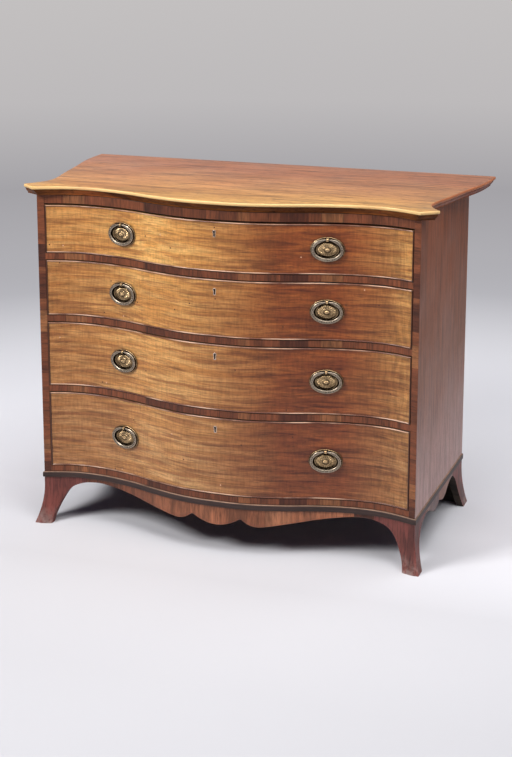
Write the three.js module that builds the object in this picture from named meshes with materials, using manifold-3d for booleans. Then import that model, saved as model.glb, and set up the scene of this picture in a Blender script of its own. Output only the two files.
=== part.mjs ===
// A serpentine dressing chest: a mahogany case on splayed bracket feet with four long drawers.
// Millimetres, +Z up, the front faces -Y, and the origin lies on the floor under the middle.
import * as THREE from "three";
import { mergeVertices } from "three/addons/utils/BufferGeometryUtils.js";
import Module from "manifold-3d";

const wasm = await Module();
wasm.setup();

// Driving dimensions of the case
const caseWidth = 1050;
const caseDepth = 537;
const centreBulge = 49.2;
const sideThickness = 18.5;
const footHeight = 127;
const baseMouldingHeight = 15;
const caseBottomThickness = 19.5;
const drawerOpeningHeights = [132.5, 151, 176.5, 209.5];
const dividerHeight = 20.5;
const dividerDepth = 96;
const friezeHeight = 26;
const backThickness = 12;
const runnerWidth = 34;
const dustBoardThickness = 8;

// Driving dimensions of the top
const topThickness = 24;
const topOverhangFront = 13;
const topOverhangCorner = 22;
const topCornerReach = 2.5;
const topCantReach = 43;
const topCantBack = 12;
const topNeckReach = 3.5;
const topNeckBack = 100;
const topOverhangBack = 15;
const topFlare = 69;
const mouldingStep = 3;
const mouldingInset = 5;
const mouldingLipHeight = 5;
const mouldingFootInset = 8;
const mouldingFootHeight = 7;

// Driving dimensions of the base
const baseMouldingProjection = 3.5;
const baseMouldingWidth = 42;
const apronThickness = 20;
const apronDrop = 51;
const sideApronDrop = 41;
const footSplaySide = 19;
const footSplayFront = 27;
const footSplayHeight = 112;
const footLegFront = 27;
const footLegSide = 12;
const rearLegSide = 47;
const bracketReach = 115;
const archTop = 114;
const rearBracketThickness = 18;
const rearBracketReach = 120;
const rearBracketTaper = 25;

// Driving dimensions of the drawers
const frontThickness = 24;
const beadThickness = 3;
const beadProjection = 2;
const drawerSideGap = 1.2;
const drawerTopGaps = [3.4, 1.4, 1.4, 1.4];
const drawerSideThickness = 9;
const drawerBottomThickness = 7;
const drawerBoxSideGap = 2.2;
const drawerBoxTopDrop = 5;
const drawerBackSpace = 25;

// Driving dimensions of the locks and keyholes
const lockWidth = 60;
const lockHeight = 38;
const lockDepth = 10.5;
const boltWidth = 16;
const boltThickness = 4;
const boltHeight = 15;
const boltClearance = 0.35;
const boltTravel = 6.5;
const mortiseClearance = 1.5;
const keyholeDrop = 27;
const keyholeRadius = 3.5;
const keyholeSlotWidth = 4.2;
const keyholeSlotLength = 12.5;
const linerWall = 1.4;
const linerDepth = 6;

// Driving dimensions of the handles
const handleSpacing = 564;
const plateHalfWidth = 44;
const plateHalfHeight = 32;
const plateThickness = 1.6;
const medallionHeight = 4.2;
const bossHeight = 9;
const ringHalfWidth = 37;
const ringHalfHeight = 26;
const ringBarHalfWidth = 4.4;
const ringBarHalfDepth = 2.6;
const ringStandOff = 5.7;
const ringShoulderDrop = 4;
const pinRadius = 2;
const pinHoleRadius = 2.45;
const lugHalfWidth = 3;
const lugRadius = 4.4;
const pinHalfLength = 4.6;
const postRadius = 2.5;
const postHoleRadius = 3.2;
const nutRadius = 6;
const nutThickness = 4;

// Gap left between pieces that bear on each other across faceted faces
const seatGap = 0.3;
const cutOverrun = 2;

// The serpentine line of the front, from the centre to a corner: places as shares of half the
// width, and the line's depth there as shares of the centre's bulge, forward being negative
const frontPlaceShares = [-0.17, 0, 0.17, 0.34, 0.51, 0.69, 0.84, 1];
const frontDepthShares = [-0.89, -1, -0.89, -0.435, 0.18, 0.545, 0.505, 0];
const frontStepCount = 14;

// The side line of the top, from the canted corner to the neck and on to the back corner: places
// as shares of each stretch, and how far out the edge lies there, as shares of its swing
const topHollowPlaceShares = [0, 0.2, 0.42, 0.7];
const topHollowReachShares = [1, 0.68, 0.37, 0.1];
const topFlarePlaceShares = [0, 0.07, 0.14, 0.22, 0.31, 0.42, 0.53, 0.64, 0.75, 0.87, 1];
const topFlareReachShares = [0, 0.05, 0.14, 0.26, 0.375, 0.5, 0.64, 0.8, 0.92, 0.985, 1];

// The lower line of the front apron outside its centre lobe: places as shares of half the width,
// and the drop below the base moulding there, as shares of the apron's drop
const apronPlaceShares = [0.128, 0.166, 0.208, 0.25, 0.337, 0.434, 0.545, 0.644, 0.705, 0.781];
const apronDropShares = [0.56, 0.82, 0.945, 0.92, 0.765, 0.59, 0.39, 0.25, 0.2, 0.255];

// The lower line of a side apron, from the middle cusp: places as shares of half the depth, and
// the drop below the base moulding there, as shares of the side apron's drop
const sideApronPlaceShares = [0, 0.08, 0.17, 0.26, 0.37, 0.495, 0.5717];
const sideApronDropShares = [0.68, 0.9, 1, 0.88, 0.54, 0.33, 0.317];

// How the feet's lines bend: the sweep's share of a bracket's reach, and the powers of its curves
const frontSweepShare = 0.58;
const frontSweepPower = 1.6;
const frontArchPower = 12;
const sideSweepShare = 0.45;
const sideArchPower = 6;
const splayPower = 2.1;

// How sharply the top's overhang grows towards its corners, as a power
const topCornerPower = 14;

// How finely the round pieces are divided
const plateSideCount = 18;
const ringStepCount = 24;
const ringSideCount = 6;
const postSideCount = 10;
const nutSideCount = 6;
const lugStepCount = 5;
const keyholeStepCount = 7;

// Levels worked out from the floor upwards
const halfWidth = caseWidth / 2;
const halfOpening = halfWidth - sideThickness;
const caseFoot = footHeight + baseMouldingHeight;
const firstOpening = caseFoot + caseBottomThickness;
const drawerCount = drawerOpeningHeights.length;
const openingFloors = [];
let level = firstOpening;
for (let i = drawerCount - 1; i >= 0; i -= 1) {
  openingFloors[i] = level;
  level += drawerOpeningHeights[i] + dividerHeight;
}
const friezeFoot = openingFloors[0] + drawerOpeningHeights[0];
const caseTop = friezeFoot + friezeHeight;
const backPanelFront = caseDepth - backThickness;
const topBack = caseDepth + topOverhangBack;

// Materials
function material(color, roughness, metalness = 0) {
  return new THREE.MeshStandardMaterial({ color, roughness, metalness });
}
const mahogany = material(0x9a5a2c, 0.4);
const mahoganySide = material(0x7d5138, 0.45);
const mahoganyTop = material(0xa8682f, 0.35);
const crossband = material(0x7a452a, 0.45);
const darkBand = material(0x43302b, 0.5);
const footVeneer = material(0x7a4034, 0.5);
const drawerLining = material(0xb59462, 0.7);
const carcaseWood = material(0x8f7350, 0.8);
const brass = material(0x8a7444, 0.4, 0.9);
const steel = material(0x6a6660, 0.5, 0.9);

// Smooth curve through points given as places and values, in order of place
function curveThrough(places, values, place) {
  const last = places.length - 1;
  if (place <= places[0]) return values[0];
  if (place >= places[last]) return values[last];
  let i = 0;
  while (place > places[i + 1]) i += 1;
  const slopeAt = (k) => {
    const a = Math.max(k - 1, 0);
    const b = Math.min(k + 1, last);
    return (values[b] - values[a]) / (places[b] - places[a]);
  };
  const span = places[i + 1] - places[i];
  const t = (place - places[i]) / span;
  const startSlope = slopeAt(i);
  const endSlope = slopeAt(i + 1);
  const bulk = values[i] * (1 + 2 * t) * (1 - t) ** 2 + values[i + 1] * t * t * (3 - 2 * t);
  return bulk + span * (startSlope * t * (1 - t) ** 2 - endSlope * t * t * (1 - t));
}

// Depth of the smooth serpentine line at x
function frontCurve(x) {
  return centreBulge * curveThrough(frontPlaceShares, frontDepthShares, Math.abs(x) / halfWidth);
}

// Stations of the serpentine line, shared by every piece that follows it
const frontStations = [];
for (let i = -frontStepCount; i <= frontStepCount; i += 1) {
  const x = (i / frontStepCount) * halfWidth;
  frontStations.push([x, frontCurve(x)]);
}

// Depth of the serpentine line at x, on its straight facets
function frontY(x) {
  const first = frontStations[0];
  const last = frontStations[frontStations.length - 1];
  if (x <= first[0]) return first[1];
  if (x >= last[0]) return last[1];
  let i = 0;
  while (x > frontStations[i + 1][0]) i += 1;
  const [x0, y0] = frontStations[i];
  const [x1, y1] = frontStations[i + 1];
  return y0 + ((y1 - y0) * (x - x0)) / (x1 - x0);
}

// Places along the front from one x to another, with every station between them
function frontPlaces(from, to) {
  const between = frontStations.map((s) => s[0]).filter((x) => x > from + seatGap && x < to - seatGap);
  return [from, ...between, to];
}

// Points along the serpentine line, moved back by an offset
function frontLine(from, to, offset = 0) {
  return frontPlaces(from, to).map((x) => [x, frontY(x) + offset]);
}

// Turn a geometry's faces outwards if its volume comes out negative
function facedOut(geometry) {
  const position = geometry.getAttribute("position");
  const index = geometry.index.array;
  const a = new THREE.Vector3();
  const b = new THREE.Vector3();
  const c = new THREE.Vector3();
  let volume = 0;
  for (let i = 0; i < index.length; i += 3) {
    a.fromBufferAttribute(position, index[i]);
    b.fromBufferAttribute(position, index[i + 1]);
    c.fromBufferAttribute(position, index[i + 2]);
    volume += a.dot(b.cross(c));
  }
  if (volume < 0) {
    for (let i = 0; i < index.length; i += 3) {
      [index[i], index[i + 1]] = [index[i + 1], index[i]];
    }
  }
  return geometry;
}

// Closed body through rings of points; the ends are capped unless the rings close on themselves
function loft(rings, closed = false) {
  const count = rings[0].length;
  const positions = rings.flat(2);
  const index = [];
  const bands = closed ? rings.length : rings.length - 1;
  for (let r = 0; r < bands; r += 1) {
    const here = r * count;
    const next = ((r + 1) % rings.length) * count;
    for (let i = 0; i < count; i += 1) {
      const j = (i + 1) % count;
      index.push(here + i, here + j, next + j, here + i, next + j, next + i);
    }
  }
  if (!closed) {
    for (const r of [0, rings.length - 1]) {
      const faces = capFaces(rings[r]);
      for (const face of faces) {
        const corners = face.map((k) => r * count + k);
        if (r === 0) corners.reverse();
        index.push(...corners);
      }
    }
  }
  const geometry = new THREE.BufferGeometry();
  geometry.setAttribute("position", new THREE.Float32BufferAttribute(positions, 3));
  geometry.setIndex(index);
  return facedOut(withoutSlivers(mergeVertices(geometry)));
}

// Drop the triangles that merging has closed up, where two points of a ring are one
function withoutSlivers(geometry) {
  const kept = [];
  const index = geometry.index.array;
  for (let i = 0; i < index.length; i += 3) {
    const [a, b, c] = [index[i], index[i + 1], index[i + 2]];
    if (a !== b && b !== c && c !== a) kept.push(a, b, c);
  }
  geometry.setIndex(kept);
  return geometry;
}

// Triangles that close a flat ring, wound the way the ring runs
function capFaces(ring) {
  const normal = new THREE.Vector3();
  ring.forEach((p, i) => {
    const q = ring[(i + 1) % ring.length];
    normal.x += (p[1] - q[1]) * (p[2] + q[2]);
    normal.y += (p[2] - q[2]) * (p[0] + q[0]);
    normal.z += (p[0] - q[0]) * (p[1] + q[1]);
  });
  const sizes = [Math.abs(normal.x), Math.abs(normal.y), Math.abs(normal.z)];
  const drop = sizes.indexOf(Math.max(...sizes));
  const [u, v] = [[1, 2], [2, 0], [0, 1]][drop];
  const flat = ring.map((p) => new THREE.Vector2(p[u], p[v]));
  const faces = THREE.ShapeUtils.triangulateShape(flat, []);
  const faceAreas = faces.map((face) => THREE.ShapeUtils.area(face.map((k) => flat[k])));
  const total = faceAreas.reduce((sum, area) => sum + area, 0);
  const turned = total * THREE.ShapeUtils.area(flat) < 0;
  return turned ? faces.map(([a, b, c]) => [a, c, b]) : faces;
}

// Upright prism over a plan outline
function prism(outline, bottom, top) {
  const shape = new THREE.Shape(outline.map((p) => new THREE.Vector2(p[0], p[1])));
  const geometry = new THREE.ExtrudeGeometry(shape, { depth: top - bottom, bevelEnabled: false });
  return geometry.translate(0, 0, bottom);
}

// Box between two corners
function block(x0, x1, y0, y1, z0, z1) {
  const geometry = new THREE.BoxGeometry(x1 - x0, y1 - y0, z1 - z0);
  return geometry.translate((x0 + x1) / 2, (y0 + y1) / 2, (z0 + z1) / 2);
}

// Geometry to solid and back, for joins and cuts
function solid(geometry) {
  const bare = geometry.clone();
  bare.deleteAttribute("normal");
  bare.deleteAttribute("uv");
  const merged = facedOut(mergeVertices(bare));
  const vertProperties = new Float32Array(merged.getAttribute("position").array);
  const triVerts = new Uint32Array(merged.index.array);
  return new wasm.Manifold(new wasm.Mesh({ numProp: 3, vertProperties, triVerts }));
}
function geometryOf(body) {
  const mesh = body.getMesh();
  const geometry = new THREE.BufferGeometry();
  geometry.setAttribute("position", new THREE.Float32BufferAttribute(mesh.vertProperties, 3));
  geometry.setIndex(Array.from(mesh.triVerts));
  return geometry;
}

const chest = new THREE.Group();

// Add a named piece to the chest, or to a group within it
function piece(name, geometry, finish, parent = chest) {
  const mesh = new THREE.Mesh(geometry, finish);
  mesh.name = name;
  parent.add(mesh);
  return mesh;
}

// Mirror image of rings about the middle plane
function mirrored(rings) {
  return rings.map((ring) => ring.map(([x, y, z]) => [-x, y, z]));
}

// Top board: serpentine front, canted front corners, hollow necks and flared back corners
function topOutline(inset) {
  const corner = halfWidth + topCornerReach;
  const front = frontLine(-corner, corner).map(([x, y]) => {
    const reach = (Math.abs(x) / corner) ** topCornerPower;
    const overhang = topOverhangFront + (topOverhangCorner - topOverhangFront) * reach;
    return [x * (1 - inset / corner), y - overhang + inset];
  });
  const cant = halfWidth + topCantReach;
  const neck = halfWidth + topNeckReach;
  const flare = halfWidth + topFlare;
  const hollow = topHollowPlaceShares.map((share, i) => [
    neck + (cant - neck) * topHollowReachShares[i] - inset,
    topCantBack + (topNeckBack - topCantBack) * share,
  ]);
  const last = topFlarePlaceShares.length - 1;
  const side = topFlarePlaceShares.map((share, i) => [
    neck + (flare - neck) * topFlareReachShares[i] - inset,
    topNeckBack + (topBack - topNeckBack) * share - (i === last ? inset : 0),
  ]);
  const right = [...hollow, ...side];
  const left = right.map(([x, y]) => [-x, y]).reverse();
  return [...front, ...right, ...left];
}
function topBoard() {
  const levels = [
    [caseTop, mouldingFootInset],
    [caseTop + mouldingStep, mouldingFootInset],
    [caseTop + mouldingFootHeight, mouldingStep],
    [caseTop + mouldingFootHeight + mouldingStep, 0],
    [caseTop + topThickness - mouldingLipHeight - mouldingStep, 0],
    [caseTop + topThickness - mouldingLipHeight, mouldingStep],
    [caseTop + topThickness, mouldingInset],
  ];
  return loft(levels.map(([z, inset]) => topOutline(inset).map(([x, y]) => [x, y, z])));
}
piece("top", topBoard(), mahoganyTop);

// Case sides, whose front edges are the narrow stiles beside the drawers
function caseSide() {
  const outline = [
    [halfOpening, frontY(halfOpening)],
    [halfWidth, frontY(halfWidth)],
    [halfWidth, caseDepth],
    [halfOpening, caseDepth],
  ];
  return [caseFoot, caseTop].map((z) => outline.map(([x, y]) => [x, y, z]));
}
piece("case_side_right", loft(caseSide()), mahoganySide);
piece("case_side_left", loft(mirrored(caseSide())), mahoganySide);

// Bolt mortise in the underside of the rail above a drawer
const boltFront = frontY(lockWidth / 2) + frontThickness + seatGap + (lockDepth - boltThickness) / 2;
function boltMortise(underside) {
  const halfCut = boltWidth / 2 + mortiseClearance;
  const depth = boltTravel + mortiseClearance;
  return block(
    -halfCut,
    halfCut,
    boltFront - mortiseClearance,
    boltFront + boltThickness + mortiseClearance,
    underside - cutOverrun,
    underside + depth,
  );
}

// Serpentine rails between the case sides
function railOutline(back) {
  const front = frontLine(-halfOpening, halfOpening);
  return [...front, [halfOpening, back], [-halfOpening, back]];
}
function rail(bottom, top) {
  const body = solid(prism(railOutline(dividerDepth), bottom, top));
  return geometryOf(body.subtract(solid(boltMortise(bottom))));
}
piece("frieze_rail", rail(friezeFoot, caseTop), crossband);

// Dust board with its drawer runners, behind a rail: a flat panel let in between two thick edges
function dustBoard(bottom, top) {
  const middle = (bottom + top) / 2;
  const panelTop = middle + dustBoardThickness / 2;
  const panelFoot = middle - dustBoardThickness / 2;
  const inner = halfOpening - runnerWidth;
  const section = [
    [-halfOpening, bottom],
    [-inner, bottom],
    [-inner, panelFoot],
    [inner, panelFoot],
    [inner, bottom],
    [halfOpening, bottom],
    [halfOpening, top],
    [inner, top],
    [inner, panelTop],
    [-inner, panelTop],
    [-inner, top],
    [-halfOpening, top],
  ];
  return loft([dividerDepth, backPanelFront].map((y) => section.map(([x, z]) => [x, y, z])));
}
for (let i = 0; i < drawerCount - 1; i += 1) {
  const top = openingFloors[i];
  piece(`drawer_divider_${i + 1}`, rail(top - dividerHeight, top), crossband);
  piece(`dust_board_${i + 1}`, dustBoard(top - dividerHeight, top), carcaseWood);
}

// Case bottom, whose front edge is the rail under the lowest drawer
piece("case_bottom", prism(railOutline(backPanelFront), caseFoot, firstOpening), crossband);

// Back panel, set between the case sides
const backPanel = block(-halfOpening, halfOpening, backPanelFront, caseDepth, caseFoot, caseTop);
piece("back_panel", backPanel, carcaseWood);

// Base moulding: a frame round the front and the sides, under the case
function baseOutline(inset) {
  const projection = baseMouldingProjection - inset;
  const outer = halfWidth + projection;
  const front = frontLine(-halfWidth, halfWidth, -projection);
  front[0][0] = -outer;
  front[front.length - 1][0] = outer;
  const inner = halfWidth - baseMouldingWidth;
  return [
    ...front,
    [outer, caseDepth],
    [inner, caseDepth],
    [inner, dividerDepth],
    [-inner, dividerDepth],
    [-inner, caseDepth],
    [-outer, caseDepth],
  ];
}
function baseMoulding() {
  const levels = [
    [footHeight, 0],
    [caseFoot - baseMouldingProjection, 0],
    [caseFoot, baseMouldingProjection / 2],
  ];
  return loft(levels.map(([z, inset]) => baseOutline(inset).map(([x, y]) => [x, y, z])));
}
piece("base_moulding", baseMoulding(), darkBand);

// Lower line of the front apron at x: a round centre lobe between two cusps, then a long ogee
function apronFoot(x) {
  const place = Math.abs(x) / halfWidth;
  const cusp = apronPlaceShares[0];
  if (place >= cusp) {
    return footHeight - apronDrop * curveThrough(apronPlaceShares, apronDropShares, place);
  }
  const rise = apronDrop * (1 - apronDropShares[0]);
  return footHeight - apronDrop + rise * (place / cusp) ** 2;
}
const apronEnd = halfWidth - bracketReach;
function apronFront() {
  const stops = apronPlaceShares.map((share) => share * halfWidth);
  const cusp = apronPlaceShares[0] * halfWidth;
  const lobe = [0, cusp / 3, (cusp * 2) / 3];
  const marks = [...lobe, ...stops, (stops[0] + stops[1]) / 2, (stops[1] + stops[2]) / 2];
  const both = marks.flatMap((x) => [x, -x]).filter((x) => Math.abs(x) < apronEnd - seatGap);
  const stations = frontPlaces(-apronEnd, apronEnd);
  const places = [...new Set([...stations, ...both])].sort((a, b) => a - b);
  const apart = places.filter((x, i) => i === 0 || x - places[i - 1] > seatGap);
  return loft(
    apart.map((x) => [
      [x, frontY(x), footHeight],
      [x, frontY(x), apronFoot(x)],
      [x, frontY(x) + apronThickness, apronFoot(x)],
      [x, frontY(x) + apronThickness, footHeight],
    ]),
  );
}
piece("apron_front", apronFront(), crossband);

// Side aprons, with a lobe on each side of a middle cusp
const sideApronHalf = caseDepth / 2 - bracketReach;
function apronSide() {
  const middle = caseDepth / 2;
  const places = sideApronPlaceShares.map((share) => share * middle);
  const stops = places.filter((y) => y < sideApronHalf - seatGap);
  const extra = stops.slice(1).map((y, i) => (y + stops[i]) / 2);
  const both = [...stops, ...extra, sideApronHalf].flatMap((y) => [y, -y]);
  const sorted = [...new Set(both.map((y) => y + 0))].sort((a, b) => a - b);
  const inner = halfWidth - apronThickness;
  return sorted.map((y) => {
    const share = Math.abs(y) / middle;
    const foot = footHeight - sideApronDrop * curveThrough(sideApronPlaceShares, sideApronDropShares, share);
    return [
      [halfWidth, middle + y, footHeight],
      [halfWidth, middle + y, foot],
      [inner, middle + y, foot],
      [inner, middle + y, footHeight],
    ];
  });
}
piece("apron_right", loft(apronSide()), crossband);
piece("apron_left", loft(mirrored(apronSide())), crossband);

// Heights of a foot's rings, closer together where the arch turns into the bracket
const footLevelShares = [0, 0.08, 0.17, 0.28, 0.4, 0.52, 0.64, 0.76, 0.86, 0.93, 0.98, 1];
const footLevels = [...footLevelShares.map((share) => share * archTop), footHeight];

// How far a foot splays at a height, as a share of its splay at the floor
function splayShare(z) {
  return Math.max(0, 1 - z / footSplayHeight) ** splayPower;
}

// Reach of a bracket's wing at a height, from a leg's width up to the whole bracket: a slow
// sweep over the leg, and a quick one where the arch turns over
function frontReach(z, leg) {
  const rise = Math.min(1, z / archTop);
  const sweep = frontSweepShare * rise ** frontSweepPower + (1 - frontSweepShare) * rise ** frontArchPower;
  return leg + (bracketReach - leg) * sweep;
}
function sideReach(z, leg) {
  const rise = Math.min(1, z / archTop);
  const sweep = sideSweepShare * rise + (1 - sideSweepShare) * rise ** sideArchPower;
  return leg + (bracketReach - leg) * sweep;
}

// Front foot: two wings that meet at the corner and splay forwards and sideways
const wingStepShares = [0, 0.14, 0.32, 0.55, 0.78, 1];
function frontFoot() {
  return footLevels.map((z) => {
    const out = halfWidth + footSplaySide * splayShare(z);
    const forward = footSplayFront * splayShare(z);
    const wingEnd = halfWidth - frontReach(z, footLegFront);
    const sideEnd = sideReach(z, footLegSide);
    const inner = out - apronThickness;
    const face = wingStepShares.map((share) => halfWidth + (wingEnd - halfWidth) * share);
    const back = wingStepShares.map((share) => wingEnd + (inner - wingEnd) * share);
    return [
      [out, -forward, z],
      ...face.map((x) => [x, frontCurve(x) - forward, z]),
      ...back.map((x) => [x, frontCurve(x) - forward + apronThickness, z]),
      [inner, sideEnd, z],
      [out, sideEnd, z],
    ];
  });
}
piece("front_right_foot", loft(frontFoot()), footVeneer);
piece("front_left_foot", loft(mirrored(frontFoot())), footVeneer);

// Back foot: a splayed side wing and a plain bracket board across the back
function backFoot() {
  return footLevels.map((z) => {
    const out = halfWidth + footSplaySide * splayShare(z);
    const sideEnd = caseDepth - sideReach(z, rearLegSide);
    const inner = out - apronThickness;
    const bracketFront = caseDepth - rearBracketThickness;
    const bracketEnd = halfWidth - rearBracketReach + rearBracketTaper * (1 - z / footHeight);
    return [
      [out, sideEnd, z],
      [out, caseDepth, z],
      [bracketEnd, caseDepth, z],
      [bracketEnd, bracketFront, z],
      [inner, bracketFront, z],
      [inner, sideEnd, z],
    ];
  });
}
piece("back_right_foot", loft(backFoot()), footVeneer);
piece("back_left_foot", loft(mirrored(backFoot())), footVeneer);

// Plan of a serpentine strip between two offsets from the front line
function serpentineStrip(from, to, frontOffset, backOffset) {
  return [...frontLine(from, to, frontOffset), ...frontLine(from, to, backOffset).reverse()];
}

// Drawer front with a cock bead round its face
const frontEnd = halfOpening - drawerSideGap;
function drawerFrontBody(bottom, top) {
  const slab = solid(prism(serpentineStrip(-frontEnd, frontEnd, 0, frontThickness), bottom, top));
  const long = serpentineStrip(-frontEnd, frontEnd, -beadProjection, beadThickness);
  const short = serpentineStrip(frontEnd - beadThickness, frontEnd, -beadProjection, beadThickness);
  const shortLeft = short.map(([x, y]) => [-x, y]).reverse();
  return slab
    .add(solid(prism(long, bottom, bottom + beadThickness)))
    .add(solid(prism(long, top - beadThickness, top)))
    .add(solid(prism(short, bottom, top)))
    .add(solid(prism(shortLeft, bottom, top)));
}

// Keyhole outline round the head's centre, grown by a margin
function keyholeShape(margin) {
  const shape = new THREE.Shape();
  const radius = keyholeRadius + margin;
  const half = keyholeSlotWidth / 2 + margin;
  const foot = -keyholeSlotLength - margin;
  const meet = Math.asin(half / radius);
  shape.moveTo(-half, foot);
  shape.lineTo(half, foot);
  shape.absarc(0, 0, radius, -Math.PI / 2 + meet, (3 * Math.PI) / 2 - meet, false);
  return shape;
}

// Bar with the keyhole's outline, running front to back from a start depth
function keyholeBar(shape, start, length, height) {
  const options = { depth: length, bevelEnabled: false, curveSegments: keyholeStepCount };
  const bar = new THREE.ExtrudeGeometry(shape, options);
  return bar.rotateX(Math.PI / 2).translate(0, start + length, height);
}

// Handle places: the serpentine's slope where a handle sits, and how far its plate stands off so
// that its flat back clears the curved face under its whole width
const handleX = handleSpacing / 2;
const slopeHalf = plateHalfWidth / 2;
const handleSlope = (frontY(handleX + slopeHalf) - frontY(handleX - slopeHalf)) / (2 * slopeHalf);
const handleTurn = Math.atan(handleSlope);
const seatProud = frontPlaces(handleX - plateHalfWidth, handleX + plateHalfWidth).map(
  (x) => frontY(handleX) + handleSlope * (x - handleX) - frontY(x),
);
const plateSeat = Math.max(...seatProud) * Math.cos(handleTurn) + seatGap;

// The ring's pivot: the straight pin at the ring's top, between its two shoulders
const pinAngle = Math.acos(pinHalfLength / ringHalfWidth);
const pinHeight = ringHalfHeight * Math.sin(pinAngle);

// Handle frame: x along the drawer's face, -y out of it, z up
function handleGroup(side, height) {
  const group = new THREE.Group();
  group.position.set(side * handleX, frontY(handleX), height);
  group.rotation.z = side * handleTurn;
  chest.add(group);
  return group;
}

// Lug on the plate, pierced for the ring's pin
function handleLug() {
  const root = -plateThickness / 2;
  const shape = new THREE.Shape();
  shape.moveTo(root, pinHeight - lugRadius);
  shape.lineTo(root, pinHeight + lugRadius);
  shape.absarc(-ringStandOff, pinHeight, lugRadius, Math.PI / 2, Math.PI * 1.5, false);
  const hole = new THREE.Path();
  hole.absarc(-ringStandOff, pinHeight, pinHoleRadius, 0, Math.PI * 2, true);
  shape.holes.push(hole);
  const depth = 2 * lugHalfWidth;
  const lug = new THREE.ExtrudeGeometry(shape, { depth, bevelEnabled: false, curveSegments: lugStepCount });
  const x = new THREE.Vector3(1, 0, 0);
  const y = new THREE.Vector3(0, 1, 0);
  const z = new THREE.Vector3(0, 0, 1);
  return lug.applyMatrix4(new THREE.Matrix4().makeBasis(y, z, x)).translate(-lugHalfWidth, 0, 0);
}

// Oval backplate with a raised rim, medallion and boss, joined to its lug, post and nut. The
// profile runs from the middle to the rim: shares of the plate's half size, then depths
const plateProfileShares = [0, 0.13, 0.18, 0.45, 0.62, 0.67, 0.92, 0.965, 1, 1, 0];
const plateProfileDepths = [
  bossHeight,
  bossHeight - plateThickness / 2,
  medallionHeight + plateThickness,
  medallionHeight + plateThickness / 2,
  medallionHeight / 2 + plateThickness / 2,
  plateThickness,
  plateThickness,
  plateThickness * 1.5,
  plateThickness,
  0,
  0,
];
function handlePlate() {
  const points = plateProfileShares.map((share, i) => new THREE.Vector2(share, -plateProfileDepths[i]));
  const oval = new THREE.LatheGeometry(points, plateSideCount).scale(plateHalfWidth, 1, plateHalfHeight);
  const nutFront = plateSeat + frontThickness * Math.cos(handleTurn) + seatGap;
  const postFront = -plateThickness / 2;
  const postLength = nutFront + nutThickness / 2 - postFront;
  const post = new THREE.CylinderGeometry(postRadius, postRadius, postLength, postSideCount);
  post.translate(0, postFront + postLength / 2, 0);
  const nut = new THREE.CylinderGeometry(nutRadius, nutRadius, nutThickness, nutSideCount);
  nut.translate(0, nutFront + nutThickness / 2, 0);
  const plate = solid(oval).add(solid(handleLug())).add(solid(post)).add(solid(nut));
  return geometryOf(plate);
}
const plateGeometry = handlePlate();

// Ring: an oval loop, swelling from a slender pin at its top to a flat bar
function handleRing() {
  const rings = [];
  for (let i = 0; i <= ringStepCount; i += 1) {
    const angle = pinAngle - (i / ringStepCount) * (2 * Math.PI - (Math.PI - 2 * pinAngle));
    const x = ringHalfWidth * Math.cos(angle);
    const z = ringHalfHeight * Math.sin(angle);
    const normal = new THREE.Vector2(x / ringHalfWidth ** 2, z / ringHalfHeight ** 2).normalize();
    const swell = Math.min(1, (pinHeight - z) / ringShoulderDrop);
    const half = pinRadius + (ringBarHalfWidth - pinRadius) * swell;
    const deep = pinRadius + (ringBarHalfDepth - pinRadius) * swell;
    const ring = [];
    for (let k = 0; k < ringSideCount; k += 1) {
      const turn = (k / ringSideCount) * 2 * Math.PI;
      const out = half * Math.cos(turn);
      ring.push([x + normal.x * out, -ringStandOff + deep * Math.sin(turn), z + normal.y * out]);
    }
    rings.push(ring);
  }
  return loft(rings, true);
}
const ringGeometry = handleRing();

// Lock: a case let in flush with the drawer's top edge, with a slot in which its bolt slides
function lockCase(front, top) {
  const bodyHalf = lockWidth / 2;
  const body = solid(block(-bodyHalf, bodyHalf, front, front + lockDepth, top - lockHeight, top));
  const slotHalf = boltWidth / 2 + boltClearance;
  const slotFoot = top - boltClearance - boltHeight - boltClearance;
  const slotFront = boltFront - boltClearance;
  const slotBack = boltFront + boltThickness + boltClearance;
  const slot = block(-slotHalf, slotHalf, slotFront, slotBack, slotFoot, top + cutOverrun);
  return geometryOf(body.subtract(solid(slot)));
}
function lockBolt(top) {
  const half = boltWidth / 2;
  const boltTop = top - boltClearance;
  return block(-half, half, boltFront, boltFront + boltThickness, boltTop - boltHeight, boltTop);
}

// Drawer box: two sides and a back, standing on the bottom panel
const boxHalf = halfOpening - drawerBoxSideGap;
const boxBack = backPanelFront - drawerBackSpace;
function drawerBox(bottom, top) {
  const inner = boxHalf - drawerSideThickness;
  const innerBack = boxBack - drawerSideThickness;
  const start = (x) => frontY(x) + frontThickness + seatGap;
  const outline = [
    [inner, start(inner)],
    [boxHalf, start(boxHalf)],
    [boxHalf, boxBack],
    [-boxHalf, boxBack],
    [-boxHalf, start(boxHalf)],
    [-inner, start(inner)],
    [-inner, innerBack],
    [inner, innerBack],
  ];
  return prism(outline, bottom, top);
}
function drawerBottom(bottom, top) {
  const front = frontLine(-boxHalf, boxHalf, frontThickness + seatGap);
  return prism([...front, [boxHalf, boxBack], [-boxHalf, boxBack]], bottom, top);
}

// Drawer front, pierced for the keyhole liner and the two handle posts
function drawerFront(bottom, top, keyholeHeight, handleHeight) {
  const start = -centreBulge - beadProjection - cutOverrun;
  const length = frontThickness + beadProjection + 2 * cutOverrun;
  const keyhole = keyholeBar(keyholeShape(linerWall + seatGap / 2), start, length, keyholeHeight);
  let body = drawerFrontBody(bottom, top).subtract(solid(keyhole));
  for (const side of [-1, 1]) {
    const hole = new THREE.CylinderGeometry(postHoleRadius, postHoleRadius, 2 * length, postSideCount);
    hole.rotateZ(side * handleTurn).translate(side * handleX, frontY(handleX), handleHeight);
    body = body.subtract(solid(hole));
  }
  return geometryOf(body);
}

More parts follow.
